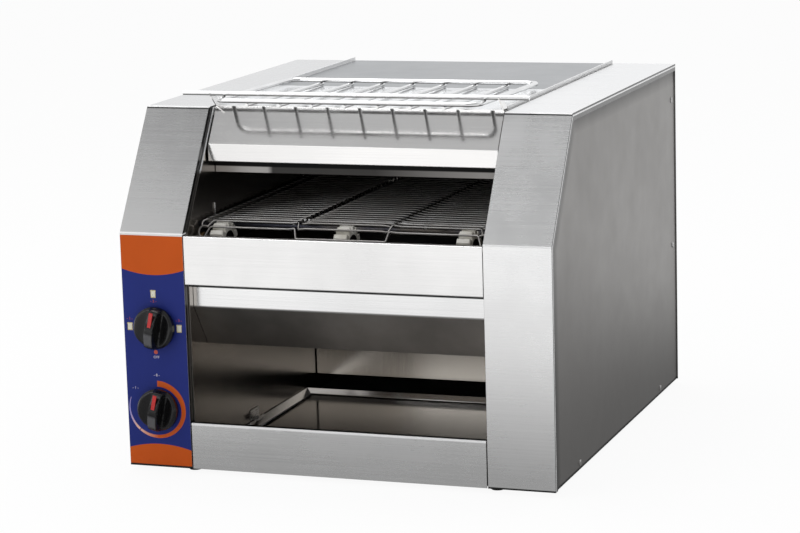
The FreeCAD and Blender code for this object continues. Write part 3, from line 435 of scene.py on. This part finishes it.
def tray_steel(name):
    # polished pan with a painted highlight along the fold at the foot of its side rims, towards the front
    s = metal(name)
    lines = s.noise(1.0, 4.0, ALONG_X, 0.7)
    cloud = s.noise(7.0, 4.0)
    tone = s.mix(s.spread(lines, 0, 1), grey(0.86, 0.03), grey(0.94, 0.03))
    tone = s.mix(s.spread(cloud, 0, 0.15), tone, grey(0.5, 0.06))
    fold = s.strip(s.math("ABSOLUTE", s.axis("X")), *TRAY_FOLD)
    near = s.step(s.axis("Y"), 50.0, -30.0)
    s.colour(s.painted_highlight(s.both(s.both(fold, near), s.under(s.axis("Z"), TRAY_FLOOR, 0.2)), tone))
    s.roughness(s.math("ADD", s.spread(lines, 0.08, 0.12), s.spread(cloud, -0.02, 0.03)))
    s.bump(lines, 0.00001, 0.3)
    return s.material


def wall_steel(name):
    # stained chamber wall with a painted highlight along its cut front edge above the mouth
    s = metal(name)
    lines = s.noise(1.0, 4.0, ALONG_Y, 0.7)
    cloud = s.noise(8.0, 4.0)
    mottled_tone = s.mix(s.spread(cloud, 0, 1), grey(0.3, 0.08), grey(0.42, 0.08))
    edge = s.under(s.inset(), WALL_EDGE, 0.2)
    s.colour(s.painted_highlight(s.both(s.above(s.axis("Z"), WALL_EDGE_FOOT, 2.0), edge), mottled_tone))
    s.roughness(s.math("ADD", s.spread(lines, 0.16, 0.22), s.spread(cloud, -0.02, 0.04)))
    s.bump(lines, 0.00001, 0.3)
    return s.material


# Other metals

def wire_metal(name, value, rough, warm=0.0):
    s = metal(name)
    fine = s.noise(900.0, 3.0)
    patch = s.noise(25.0, 3.0)
    s.colour(s.mix(s.spread(patch, 0, 1), grey(value, warm), grey(value * 0.78, warm + 0.03)))
    s.roughness(s.math("ADD", s.spread(fine, rough - 0.04, rough + 0.06), s.spread(patch, 0, 0.06)))
    s.bump(fine, 0.00005, 0.3)
    return s.material


def rack_chrome(name):
    # bright chrome on top, with painted shade darkening the underside
    s = metal(name)
    fine = s.noise(900.0, 3.0)
    patch = s.noise(25.0, 3.0)
    facing_up = s.axis("Z", s.add("ShaderNodeNewGeometry").outputs["Normal"])
    top = s.mix(s.spread(patch, 0, 1), grey(0.95), grey(0.85))
    s.colour(s.mix(s.spread(facing_up, 0, 1, -0.85, -0.15), grey(0.1), top))
    s.roughness(s.spread(fine, 0.08, 0.16))
    s.bump(fine, 0.00003, 0.3)
    return s.material


def heated_metal(name, value):
    # dull sheath with straw and blue temper colours
    s = metal(name)
    straw = grey(value, 0.12)
    blue = (value * 0.6, value * 0.62, value * 0.8, 1)
    s.colour(s.mix(s.spread(s.noise(14.0, 4.0), 0, 1, 0.35, 0.55), straw, blue))
    fine = s.noise(700.0, 3.0)
    s.roughness(s.spread(fine, 0.38, 0.6))
    s.bump(fine, 0.0001, 0.4)
    return s.material


def cast_metal(name, value):
    s = metal(name)
    grain = s.noise(450.0, 5.0, roughness=0.7)
    patch = s.noise(20.0, 3.0)
    s.colour(s.mix(s.spread(patch, 0, 1), grey(value), grey(value * 0.8, 0.02)))
    s.roughness(s.spread(grain, 0.42, 0.62))
    s.bump(grain, 0.0003, 0.5)
    return s.material


def brass(name, colour):
    s = metal(name)
    fine = s.noise(500.0, 3.0)
    patch = s.noise(60.0, 3.0)
    s.colour(s.mix(s.spread(patch, 0, 1), colour, dimmed(colour, 0.7)))
    s.roughness(s.spread(fine, 0.28, 0.45))
    s.bump(fine, 0.00005, 0.4)
    return s.material


# Plastics, film and ink

def plastic(name, colour, rough, grain=600.0, depth=0.00005, coat=0.0, vary=0.12):
    s = Shade(name)
    s.put(Coat_Weight=coat)
    fine = s.noise(grain, 4.0)
    patch = s.noise(30.0, 3.0)
    s.colour(s.mix(s.spread(patch, 0, 1), colour, dimmed(colour, 1 - vary)))
    s.roughness(s.math("ADD", s.spread(fine, rough - 0.05, rough + 0.07), s.spread(patch, 0, 0.05)))
    s.bump(fine, depth, 0.5)
    return s.material


def knob_plastic(name):
    # black knob with a painted grey highlight on its grip bar below the pointer
    s = Shade(name)
    z = s.axis("Z")
    high, low = SELECTOR_Z * MM, SPEED_Z * MM
    upper_knob = s.math("GREATER_THAN", z, (high + low) / 2)
    centre = s.math("ADD", s.both(upper_knob, high - low), low)
    across = s.math("SUBTRACT", s.axis("X"), KNOB_X * MM)
    along = s.math("SUBTRACT", z, centre)
    cos, sin = math.cos(KNOB_TILT), math.sin(KNOB_TILT)
    off_bar = s.math("SUBTRACT", s.both(across, cos), s.both(along, sin))
    up_bar = s.math("ADD", s.both(across, sin), s.both(along, cos))
    bar = s.under(s.math("ABSOLUTE", off_bar), GRIP_HALF - 0.1, 0.4)
    grip_highlight = s.both(bar, s.strip(up_bar, *GRIP_HIGHLIGHT))
    fine = s.noise(900.0, 4.0)
    s.colour(s.mix(grip_highlight, linear("0B0B0C"), s.mix(s.spread(fine, 0, 1), linear("4A4A4D"), linear("5E5E60"))))
    s.roughness(s.math("ADD", s.spread(fine, 0.18, 0.28), s.both(grip_highlight, 0.2)))
    s.bump(fine, 0.00002, 0.5)
    return s.material


def circuit_board(name):
    s = Shade(name)
    tracks = s.add("ShaderNodeTexVoronoi", feature="DISTANCE_TO_EDGE", distance="CHEBYCHEV")
    tracks.inputs["Scale"].default_value = 260.0
    s.join(s.place, tracks.inputs["Vector"])
    line = s.spread(tracks.outputs["Distance"], 1, 0, 0.02, 0.09)
    s.colour(s.mix(line, linear("14492B"), linear("1F7A44")))
    s.roughness(s.spread(s.noise(300.0), 0.3, 0.5))
    s.bump(line, 0.00004, 0.5)
    return s.material


def overlay_film(name):
    # orange bands with curved edges above and below a blue field, and painted shade as a dark line along the foot
    s = Shade(name)
    s.put(Specular_IOR_Level=0.12)
    z = s.axis("Z")
    x = s.math("DIVIDE", s.math("SUBTRACT", s.axis("X"), OVERLAY_MIDDLE * MM), OVERLAY_HALF * MM)
    square = s.both(x, x)
    upper = s.math("ADD", s.both(square, UPPER_BOW * MM), UPPER_BAND * MM)
    lower = s.math("ADD", s.both(square, LOWER_BOW * MM), LOWER_BAND * MM)
    above = s.above(s.math("SUBTRACT", z, upper), 0.0, 0.1)
    below = s.above(s.math("SUBTRACT", lower, z), 0.0, 0.1)
    patch = s.noise(18.0, 3.0)
    blue = s.mix(s.spread(patch, 0, 1), BLUE, dimmed(BLUE, 0.9))
    orange = s.mix(s.spread(patch, 0, 1), ORANGE, dimmed(ORANGE, 0.94))
    print_tone = s.mix(s.math("MAXIMUM", above, below), blue, orange)
    # painted shade: a dark line along the overlay's foot
    s.colour(s.mix(s.step(z, BASE + 2.0, BASE + 2.6), grey(0.02), print_tone))
    fine = s.noise(1500.0, 3.0)
    s.roughness(s.spread(fine, 0.3, 0.42))
    s.bump(fine, 0.00002, 0.4)
    return s.material


def print_ink(name, colour):
    return plastic(name, colour, 0.4, 1500.0, 0.00001, 0.0, 0.05)


def arc_ink(name):
    # orange that turns pink and then pale violet towards the arc's thin end
    s = Shade(name)
    s.put(Specular_IOR_Level=0.12)
    x = s.axis("X")
    tone = s.mix(s.step(x, -228.0, -205.0), linear("E8B9A8"), ORANGE)
    tone = s.mix(s.spread(s.noise(40.0), 0, 0.06), tone, grey(0.2))
    s.colour(s.mix(s.step(x, -230.0, -238.5), tone, linear("8D8FD6")))
    s.roughness(s.spread(s.noise(1500.0), 0.35, 0.45))
    return s.material


def belt_wheel_plastic(name):
    # hub painted dark as shade and pale blocks, told apart by the distance from the nearer shaft
    s = Shade(name)
    s.put(Specular_IOR_Level=0.3)
    front = s.math("ABSOLUTE", s.math("SUBTRACT", s.axis("Y"), FRONT_SHAFT[0] * MM))
    rear = s.math("ABSOLUTE", s.math("SUBTRACT", s.axis("Y"), REAR_SHAFT[0] * MM))
    across = s.math("MINIMUM", front, rear)
    up = s.math("SUBTRACT", s.axis("Z"), FRONT_SHAFT[1] * MM)
    radius = s.math("SQRT", s.math("ADD", s.both(across, across), s.both(up, up)))
    block = s.above(radius, WHEEL_HUB + 0.6, 0.3)
    patch = s.noise(60.0, 4.0)
    pale = s.mix(s.spread(patch, 0, 1), linear("F4F2EC"), linear("C9C5BA"))
    s.colour(s.mix(block, linear("0C0B0A"), pale))
    fine = s.noise(400.0, 3.0)
    s.roughness(s.math("ADD", s.spread(fine, 0.0, 0.15), s.spread(block, 0.8, 0.4, 0, 1)))
    s.bump(fine, 0.00008, 0.4)
    return s.material


# One material for each slot, then the sheets that have a look of their own

MATERIALS = {
    "stainless_outer": steel("stainless_outer", 0.80, 0.27),
    "stainless_side": steel("stainless_side", 0.24, 0.40, ALONG_Z, 0.03, clouds=0.2, marks=side_panel_shade),
    "stainless_inner": steel("stainless_inner", 0.22, 0.34, ALONG_X, 0.05, clouds=0.3),
    "stainless_polished": steel("stainless_polished", 0.8, 0.1, ALONG_X, 0.03, clouds=0.12),
    "plated_steel": steel("plated_steel", 0.55, 0.4, ALONG_Y, 0.0, clouds=0.2),
    "belt_wire": wire_metal("belt_wire", 0.34, 0.3, 0.02),
    "chromed_wire": rack_chrome("chromed_wire"),
    "turned_steel": wire_metal("turned_steel", 0.62, 0.25),
    "spring_steel": steel("spring_steel", 0.6, 0.28, ALONG_Y),
    "screw_steel": wire_metal("screw_steel", 0.5, 0.3),
    "chain_steel": wire_metal("chain_steel", 0.3, 0.35, 0.04),
    "bearing_bronze": brass("bearing_bronze", (0.50, 0.33, 0.16, 1)),
    "wheel_plastic": plastic("wheel_plastic", linear("E6E2D8"), 0.42, 300.0, 0.0001, vary=0.15),
    "element_sheath": heated_metal("element_sheath", 0.22),
    "ceramic_body": plastic("ceramic_body", linear("E9E4D6"), 0.55, 250.0, 0.0002, vary=0.1),
    "terminal_brass": brass("terminal_brass", (0.62, 0.46, 0.20, 1)),
    "cast_case": cast_metal("cast_case", 0.5),
    "motor_paint": plastic("motor_paint", linear("2A2A2C"), 0.4, 400.0, 0.0001, 0.2),
    "overlay_film": overlay_film("overlay_film"),
    "knob_black": knob_plastic("knob_black"),
    "pointer_red": plastic("pointer_red", linear("C81E1E"), 0.3, 900.0, 0.00002, 0.3),
    "switch_plastic": plastic("switch_plastic", linear("2E2E30"), 0.5),
    "board_green": circuit_board("board_green"),
    "terminal_plastic": plastic("terminal_plastic", linear("DAD8D0"), 0.45),
    "gland_plastic": plastic("gland_plastic", linear("1C1C1D"), 0.5),
    "foot_rubber": plastic("foot_rubber", linear("1B1B1B"), 0.75, 350.0, 0.0002),
}

SHEETS = {
    # the left casing is a darker copy of the right one's steel: painted shade
    "left_casing": steel("stainless_left_shaded", 0.76, 0.27, warm=0.0, marks=partial(casing_light_and_shade, dim=LEFT_SLANT_SHADE)),
    "right_casing": steel("stainless_right", 0.96, 0.27, warm=0.0,
                          marks=partial(casing_light_and_shade, dim=RIGHT_SLANT_SHADE)),
    "top_cover": steel("stainless_cover", 0.36, 0.30, warm=-0.03, marks=upstand_highlight),
    "rack_deck": steel("stainless_deck", 0.99, 0.24, warm=-0.01, marks=upstand_highlight),
    "hood_panel": steel("stainless_hood", 0.98, 0.12, depth=0.000003, marks=hood_marks),
    "front_cross_panel": steel("stainless_cross_panel", 0.93, 0.22, warm=0.005),
    "tray_front_panel": steel("stainless_tray_front", 0.96, 0.27, warm=0.0, marks=fold_highlight_and_shade),
    "upper_reflector": steel("stainless_reflector", 0.48, 0.3, warm=0.03, clouds=0.5,
                             marks=reflector_tone_and_shade),
    "front_deflector": deflector_steel("stainless_deflector"),
    "toast_chute": chute_steel("stainless_chute"),
    "crumb_tray": tray_steel("stainless_tray"),
    "left_chamber_wall": wall_steel("stainless_wall"),
}
SHEETS["right_chamber_wall"] = SHEETS["left_chamber_wall"]

for entry in frame["record"]["subparts"]:
    mesh = nodes[entry["node"]].data
    mesh.materials.clear()
    mesh.materials.append(SHEETS.get(entry["node"]) or MATERIALS[entry["material_slot"]])


# Helpers for pieces

def add_object(name, data):
    obj = bpy.data.objects.new(name, data)
    bpy.context.scene.collection.objects.link(obj)
    return obj


def piece(name, data, body, slot_name, material=None, replaced=(), place=None):
    obj = add_object(name, data)
    if place:
        obj.matrix_world = place
    data.materials.append(material or MATERIALS[slot_name])
    if replaced:
        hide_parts(*replaced)
    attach(obj, body)


def mesh_from(bm, name, smooth=True):
    mesh = bpy.data.meshes.new(name)
    bmesh.ops.recalc_face_normals(bm, faces=bm.faces)
    bm.to_mesh(mesh)
    bm.free()
    if smooth:
        mesh.polygons.foreach_set("use_smooth", [True] * len(mesh.polygons))
        mesh.set_sharp_from_angle(angle=math.radians(40))
    return mesh


def angles_round(count):
    return [2 * math.pi * k / count for k in range(count)]


def bridge(bm, first, second):
    # quads between two closed rows of as many points
    for k in range(len(first)):
        after = (k + 1) % len(first)
        bm.faces.new((first[k], second[k], second[after], first[after]))


def fan(bm, tip, row):
    # triangles from one point to a closed row
    for k in range(len(row)):
        bm.faces.new((tip, row[k], row[(k + 1) % len(row)]))


# Wire belt: every wire crosses the belt once, with a Z bend at each lane edge and a hook at each end

def belt_place(along):
    # place (y, z) and outward direction; along counts pitches from the rear top forwards
    k = along % PITCHES_ROUND
    turn_step = math.pi / PITCHES_PER_TURN
    if k <= PITCHES_PER_RUN:
        shaft, slide, turn = REAR_SHAFT, -k * PITCH, math.pi / 2
    elif k <= PITCHES_PER_RUN + PITCHES_PER_TURN:
        shaft, slide, turn = FRONT_SHAFT, 0.0, math.pi / 2 + (k - PITCHES_PER_RUN) * turn_step
    elif k <= 2 * PITCHES_PER_RUN + PITCHES_PER_TURN:
        shaft, slide, turn = FRONT_SHAFT, (k - PITCHES_PER_RUN - PITCHES_PER_TURN) * PITCH, -math.pi / 2
    else:
        shaft, slide, turn = REAR_SHAFT, 0.0, (k - PITCHES_ROUND) * turn_step + math.pi / 2
    out = Vector((math.cos(turn), math.sin(turn)))
    return Vector((shaft[0] + slide, shaft[1])) + out * BELT_RADIUS, out


def belt_point(x, along, height):
    # height is above the wire's middle line
    place, out = belt_place(along)
    raised = place + out * height
    return (x * MM, raised.x * MM, raised.y * MM)


def half_wire():
    # (x, pitches forward, height) from the left hook to the belt's middle
    lift = WIRE_LIFT
    end = -BELT_EDGE
    lane = -LANE_EDGE
    hook = [(end + 9.8, 0.10, lift * 0.6), (end + 6.5, -0.02, lift), (end + 2.6, 0.02, lift),
            (end + 0.2, 0.30, lift * 0.7), (end, 0.68, -lift * 0.4), (end + 2.4, 0.96, -lift),
            (end + 7.0, 0.98, -lift), (end + 11.0, 0.10, 0.0), (end + 13.0, 0.0, 0.0),
            (end + 24.0, 0.0, 0.0)]
    bend = [(lane - 9, 0.0, 0.0), (lane - 1.2, 0.0, lift), (lane, 0.1, lift),
            (lane + 2.0, 0.78, -lift), (lane + 3.0, 0.88, -lift), (lane + 10, 0.88, 0.0)]
    return hook + bend


def rounded(points, radius):
    # replaces each corner of a line by a short curve through three points
    made = [points[0]]
    for before, here, after in zip(points, points[1:], points[2:]):
        a, b, c = Vector(before), Vector(here), Vector(after)
        reach = min(radius, (a - b).length * 0.45, (c - b).length * 0.45)
        start = b + (a - b).normalized() * reach
        end = b + (c - b).normalized() * reach
        made += [start, (start + end) / 4 + b / 2, end]
    made.append(points[-1])
    return [Vector(p) for p in made]


def wire_belt():
    curve = bpy.data.curves.new("wire_belt", "CURVE")
    curve.dimensions = "3D"
    curve.bevel_depth = WIRE_RADIUS * MM
    curve.bevel_resolution = 2
    curve.use_fill_caps = True
    left = half_wire()
    right = [(-x, along, height) for x, along, height in reversed(left)]
    for k in range(PITCHES_ROUND):
        corners = [belt_point(x, k + BELT_PHASE + along, height) for x, along, height in left + right]
        points = rounded(corners, WIRE_BEND * MM)
        spline = curve.splines.new("POLY")
        spline.points.add(len(points) - 1)
        for point, place in zip(spline.points, points):
            point.co = (*place, 1.0)
        spline.use_smooth = True
    return curve


piece("wire_belt", wire_belt(), "cabinet", "belt_wire",
      replaced=("belt_upper_run", "belt_lower_run", "belt_front_turn", "belt_rear_turn"))


# Belt wheels: a hub painted dark as shade, with twelve pale blocks that reach up between the wires

def belt_wheels(name, shaft):
    bm = bmesh.new()

    def point(x, radius, turn, side=0.0):
        y = shaft[0] + radius * math.cos(turn) - side * math.sin(turn)
        z = shaft[1] + radius * math.sin(turn) + side * math.cos(turn)
        return bm.verts.new((x * MM, y * MM, z * MM))

    hub = ((-HUB_HALF, WHEEL_BORE), (-HUB_HALF, WHEEL_HUB), (HUB_HALF, WHEEL_HUB), (HUB_HALF, WHEEL_BORE))
    # (radius, half thickness, half width) from inside the hub to the block's tip
    block = ((WHEEL_HUB - 1.0, 3.9, WHEEL_HALF), (WHEEL_TIP - 1.0, 3.1, WHEEL_HALF),
             (WHEEL_TIP, 2.2, WHEEL_HALF - 1.0))
    for centre in WHEEL_X:
        rows = [[point(centre + x, radius, turn) for turn in angles_round(48)] for x, radius in hub]
        for first, second in zip(rows, rows[1:] + rows[:1]):
            bridge(bm, first, second)
        for k in range(2 * PITCHES_PER_TURN):
            turn = math.pi / PITCHES_PER_TURN * (k + 0.5 + BELT_PHASE)
            rows = []
            for radius, half, wide in block:
                corners = ((-wide, -half), (wide, -half), (wide, half), (-wide, half))
                rows.append([point(centre + x, radius, turn, side) for x, side in corners])
            bm.faces.new(rows[0])
            bm.faces.new(rows[-1])
            for low, high in zip(rows, rows[1:]):
                bridge(bm, low, high)
    return mesh_from(bm, name)


WHEEL_MATERIAL = belt_wheel_plastic("belt_wheel")
for node, shaft, body in (("front_belt_sprockets", FRONT_SHAFT, "front_roller"),
                          ("rear_belt_sprockets", REAR_SHAFT, "drive_roller")):
    name = node + "_blocks"
    piece(name, belt_wheels(name, shaft), body, "wheel_plastic", WHEEL_MATERIAL, (node,))


# Knobs: a round cap with a scooped hollow on both sides of a grip bar

def smoothstep(value, low, high):
    t = min(max((value - low) / (high - low), 0.0), 1.0)
    return t * t * (3 - 2 * t)


def knob_height(x, z):
    # height of the cap's face over the skirt, at x across the grip bar and z along it
    side = smoothstep(abs(x), GRIP_HALF, GRIP_HALF + 3.2)
    scoop = SCOOP_HEIGHT + SCOOP_RISE * smoothstep(abs(x), GRIP_HALF + 3, KNOB_RADIUS - 1)
    bar = KNOB_HEIGHT - KNOB_CROWN * z * z
    rim = 3.0 * smoothstep(math.hypot(x, z), KNOB_RADIUS - 3.5, KNOB_RADIUS) ** 2
    return bar * (1 - side) + scoop * side - rim


def knob_mesh(name, centre_z):
    bm = bmesh.new()
    rings = 26
    turn = Matrix.Rotation(KNOB_TILT, 3, "Y")

    def point(radius, angle, height=None):
        # on the cap's face, or at a height over the skirt
        x, z = radius * math.cos(angle), radius * math.sin(angle)
        if height is None:
            height = knob_height(x, z)
        p = turn @ Vector((x, KNOB_LIFT - height, z))
        return bm.verts.new(((KNOB_X + p.x) * MM, (FRONT + p.y) * MM, (centre_z + p.z) * MM))

    top = point(0, 0)
    face = [(KNOB_RADIUS * (r / rings) ** 0.8, None) for r in range(1, rings + 1)]
    skirt = [(KNOB_RADIUS, 3.0), (KNOB_RADIUS - 0.4, 1.2), (KNOB_RADIUS - 1.0, 0.0), (3.2, 0.0)]
    rows = [[point(radius, angle, height) for angle in angles_round(96)] for radius, height in face + skirt]
    fan(bm, top, rows[0])
    for inner, outer in zip(rows, rows[1:]):
        bridge(bm, inner, outer)
    bm.faces.new(rows[-1])
    return mesh_from(bm, name)


for knob, body, centre in (("selector_knob", "selector", SELECTOR_Z),
                           ("speed_knob", "speed_control", SPEED_Z)):
    name = knob + "_cap"
    piece(name, knob_mesh(name, centre), body, "knob_black", replaced=(knob,))


# Screws with a cross recess

def cross_screw():
    # pan head whose underside is at the origin, shank along +X
    bm = bmesh.new()
    angles = angles_round(32)

    def ring(spots):
        row = []
        for angle, (x, radius) in zip(angles, spots):
            row.append(bm.verts.new((x * MM, radius * math.cos(angle) * MM, radius * math.sin(angle) * MM)))
        return row

    def cross_ring(in_arm, between):
        return ring([in_arm if abs(math.sin(2 * angle)) < ARM_WIDTH else between for angle in angles])

    rows = [ring([spot] * len(angles)) for spot in SCREW_LINE]
    for first, second in zip(rows, rows[1:]):
        bridge(bm, first, second)
    bm.faces.new(rows[-1])
    floor = bm.verts.new((RECESS_FLOOR * MM, 0, 0))
    rim = cross_ring(*RECESS_RIM)
    foot = cross_ring(*RECESS_FOOT)
    bridge(bm, rows[0], rim)
    bridge(bm, rim, foot)
    fan(bm, floor, foot)
    return mesh_from(bm, "cross_screw")


def scattered(name, source, places):
    # one mesh with a copy of source for each matrix in places
    bm = bmesh.new()
    for place in places:
        start = len(bm.verts)
        bm.from_mesh(source)
        bm.verts.ensure_lookup_table()
        bmesh.ops.transform(bm, matrix=place, verts=bm.verts[start:])
    mesh = bpy.data.meshes.new(name)
    bm.to_mesh(mesh)
    bm.free()
    return mesh


def turned(axis, angle):
    return Matrix.Rotation(angle, 4, axis)


def screw_places():
    # four screws on each side panel and six on the rear panel, each turned its own way
    places = []
    for y, z in SIDE_SCREWS:
        left = Vector((-SIDE_X, y + FRONT, z + BASE)) * MM
        right = Vector((-left.x, left.y, left.z))
        places.append(Matrix.Translation(left) @ turned("X", 0.4 + y))
        places.append(Matrix.Translation(right) @ turned("Z", math.pi) @ turned("X", 0.9 + y))
    for x in REAR_SCREW_X:
        for z in REAR_SCREW_Z:
            spot = Vector((x, REAR_Y, z + BASE)) * MM
            places.append(Matrix.Translation(spot) @ turned("Z", -math.pi / 2) @ turned("X", x + z))
    return places


piece("cross_screws", scattered("cross_screws", cross_screw(), screw_places()), "cabinet", "screw_steel",
      replaced=("cover_screws",))


# Printed marks on the overlay

INK_CREAM = print_ink("ink_cream", linear("E9E6D2"))
INK_CRUST = print_ink("ink_crust", linear("C9B98A"))
INK_PALE = print_ink("ink_pale", linear("D9D3E2"))
INK_RED = print_ink("ink_red", linear("C8503A"))


def print_mark(name, outlines, ink, layer=1):
    # flat shapes on the overlay; outlines are lists of (x, z) in millimetres
    bm = bmesh.new()
    y = (OVERLAY_FACE - 0.03 * layer) * MM
    for outline in outlines:
        bm.faces.new([bm.verts.new((x * MM, y, (z + BASE) * MM)) for x, z in outline])
    solid = bmesh.ops.extrude_face_region(bm, geom=bm.faces[:])
    moved = [v for v in solid["geom"] if isinstance(v, bmesh.types.BMVert)]
    bmesh.ops.translate(bm, verts=moved, vec=(0, 0.02 * MM, 0))
    piece(name, mesh_from(bm, name, smooth=False), "cabinet", "overlay_film", ink)


def bread_outline(cx, cz, scale):
    # a slice of bread: flat sides and base, two soft shoulders at the top
    half = [(0.0, 4.05), (1.1, 4.35), (2.4, 4.3), (3.2, 3.7), (3.3, 2.9), (2.9, 2.2), (2.9, -3.9),
            (2.5, -4.3)]
    points = half + [(-x, z) for x, z in reversed(half) if x > 0]
    return [(cx + x * scale, cz + z * scale) for x, z in points]


def disc_outline(cx, cz, radius):
    return [(cx + radius * math.cos(turn), cz + radius * math.sin(turn)) for turn in angles_round(28)]


def arc_edge(degrees):
    # inner and outer point of the speed arc; its outer line is an ellipse and it widens clockwise
    share = (degrees - ARC_START) / (ARC_END - ARC_START)
    thin, thick = ARC_WIDTH
    width = thin + (thick - thin) * share ** 0.75
    turn = math.radians(degrees)
    cos, sin = math.cos(turn), math.sin(turn)
    (cx, cz), (rx, rz) = ARC_CENTRE, ARC_RADII
    return (cx + (rx - width) * cos, cz + (rz - width) * sin), (cx + rx * cos, cz + rz * sin)


def arc_strip(first, last, count):
    # quads of the speed arc between two angles in degrees
    quads = []
    for k in range(count):
        start = arc_edge(first + (last - first) * k / count)
        end = arc_edge(first + (last - first) * (k + 1) / count)
        quads.append([start[0], start[1], end[1], end[0]])
    return quads


def print_text(name, text, x, z, size, ink):
    curve = bpy.data.curves.new(name, "FONT")
    curve.body = text
    curve.size = size * MM
    curve.align_x = "CENTER"
    curve.align_y = "CENTER"
    curve.extrude = 0.01 * MM
    curve.resolution_u = 3
    spot = Vector((x, OVERLAY_FACE - 0.04, z + BASE)) * MM
    upright = Matrix.Translation(spot) @ turned("X", math.pi / 2)
    piece(name, curve, "cabinet", "overlay_film", ink, place=upright)


print_mark("bread_marks", [bread_outline(x, z, 1.0) for x, z in BREAD_MARKS], INK_CRUST)
print_mark("bread_marks_inner", [bread_outline(x, z, 0.76) for x, z in BREAD_MARKS], INK_CREAM, 2)
print_mark("off_dot", [disc_outline(*OFF_DOT, OFF_DOT_RADIUS)], INK_RED)
arc_quads = arc_strip(ARC_START, ARC_BREAK[0], 24) + arc_strip(ARC_BREAK[1], ARC_END, 72)
print_mark("speed_arc", arc_quads, arc_ink("ink_arc"))
print_text("mark_off", "OFF", -203.2, 121.2, 4.0, INK_PALE)
print_text("mark_low", "- 1 -", -229.8, 86.3, 4.2, INK_PALE)
print_text("mark_high", "- 8 -", -204.1, 101.4, 4.2, INK_PALE)
print_text("mark_two", "- 2 -", -204.0, 182.4, 4.2, INK_RED)
print_text("mark_one", "- 1 -", -232.8, 162.4, 4.2, INK_RED)
print_text("mark_three", "- 3 -", -175.2, 162.4, 4.2, INK_RED)


# Floor, light and camera

def make_floor():
    # white to the eye; its mirror image on the object darkens close to the object
    bm = bmesh.new()
    bmesh.ops.create_grid(bm, x_segments=8, y_segments=8, size=FLOOR_HALF)
    mesh = bpy.data.meshes.new("floor")
    bm.to_mesh(mesh)
    bm.free()
    floor = add_object("floor", mesh)
    floor.location.z = -FLOOR_DROP
    s = Shade("floor")
    s.put(Base_Color=(0.9, 0.9, 0.9, 1), Roughness=0.9, Specular_IOR_Level=0.0)
    length = s.add("ShaderNodeVectorMath", operation="LENGTH")
    s.join(s.place, length.inputs[0])
    near, far, dark, bright = FLOOR_MIRROR
    fade = s.spread(length.outputs["Value"], dark, bright, near, far, "SMOOTHSTEP")
    path = s.add("ShaderNodeLightPath").outputs
    seen, mirrored = path["Is Camera Ray"], path["Is Glossy Ray"]
    white = s.add("ShaderNodeEmission")
    s.join(s.math("MAXIMUM", s.both(fade, mirrored), seen), white.inputs["Strength"])
    share = s.math("MAXIMUM", mirrored, s.both(seen, FLOOR_SHARE))
    surface = s.blend(share, s.shader.outputs[0], white.outputs[0])
    s.join(surface, s.tree.nodes["Material Output"].inputs["Surface"])
    mesh.materials.append(s.material)


def make_world():
    # pale to the eye, otherwise a room that is bright behind the object and dimmer in front
    world = bpy.data.worlds.new("studio")
    bpy.context.scene.world = world
    world.use_nodes = True
    s = Nodes(world.node_tree, "Generated")
    room = s.tree.nodes["Background"]
    room.inputs["Color"].default_value = (0.985, 0.99, 1.0, 1)
    start, end, dim, bright = ROOM
    s.join(s.spread(s.axis("Y"), dim, bright, start, end, "SMOOTHSTEP"), room.inputs["Strength"])
    backdrop = s.add("ShaderNodeBackground")
    seen = s.add("ShaderNodeLightPath").outputs["Is Camera Ray"]
    surface = s.blend(seen, room.outputs[0], backdrop.outputs[0])
    s.join(surface, s.tree.nodes["World Output"].inputs["Surface"])


def soft_box(name, place, size, power):
    light = bpy.data.lights.new(name, "AREA")
    light.shape = "RECTANGLE"
    light.size, light.size_y = size
    light.energy = power
    obj = add_object(name, light)
    obj.location = place
    obj.rotation_euler = (Vector(LIGHT_TARGET) - Vector(place)).to_track_quat("-Z", "Y").to_euler()


def make_camera():
    data = bpy.data.cameras.new("camera")
    data.lens = CAMERA_LENS
    data.sensor_width = 36.0
    data.clip_end = 60.0
    camera = add_object("camera", data)
    aim = Matrix.Identity(3)
    for axis, angle in CAMERA_TURNS:
        aim = aim @ Matrix.Rotation(angle, 3, axis)
    right, forward, up = aim.col[0], aim.col[1], aim.col[2]
    facing = Matrix((right, up, -forward)).transposed().to_4x4()
    camera.matrix_world = Matrix.Translation(CAMERA_PLACE) @ facing
    bpy.context.scene.camera = camera


make_floor()
make_world()
soft_box("key", (-1.9, -2.4, 2.0), (2.4, 2.0), 24)
soft_box("overhead", (-0.3, 0.3, 2.4), (1.8, 1.4), 22)
make_camera()
bpy.context.scene.view_settings.view_transform = "Standard"
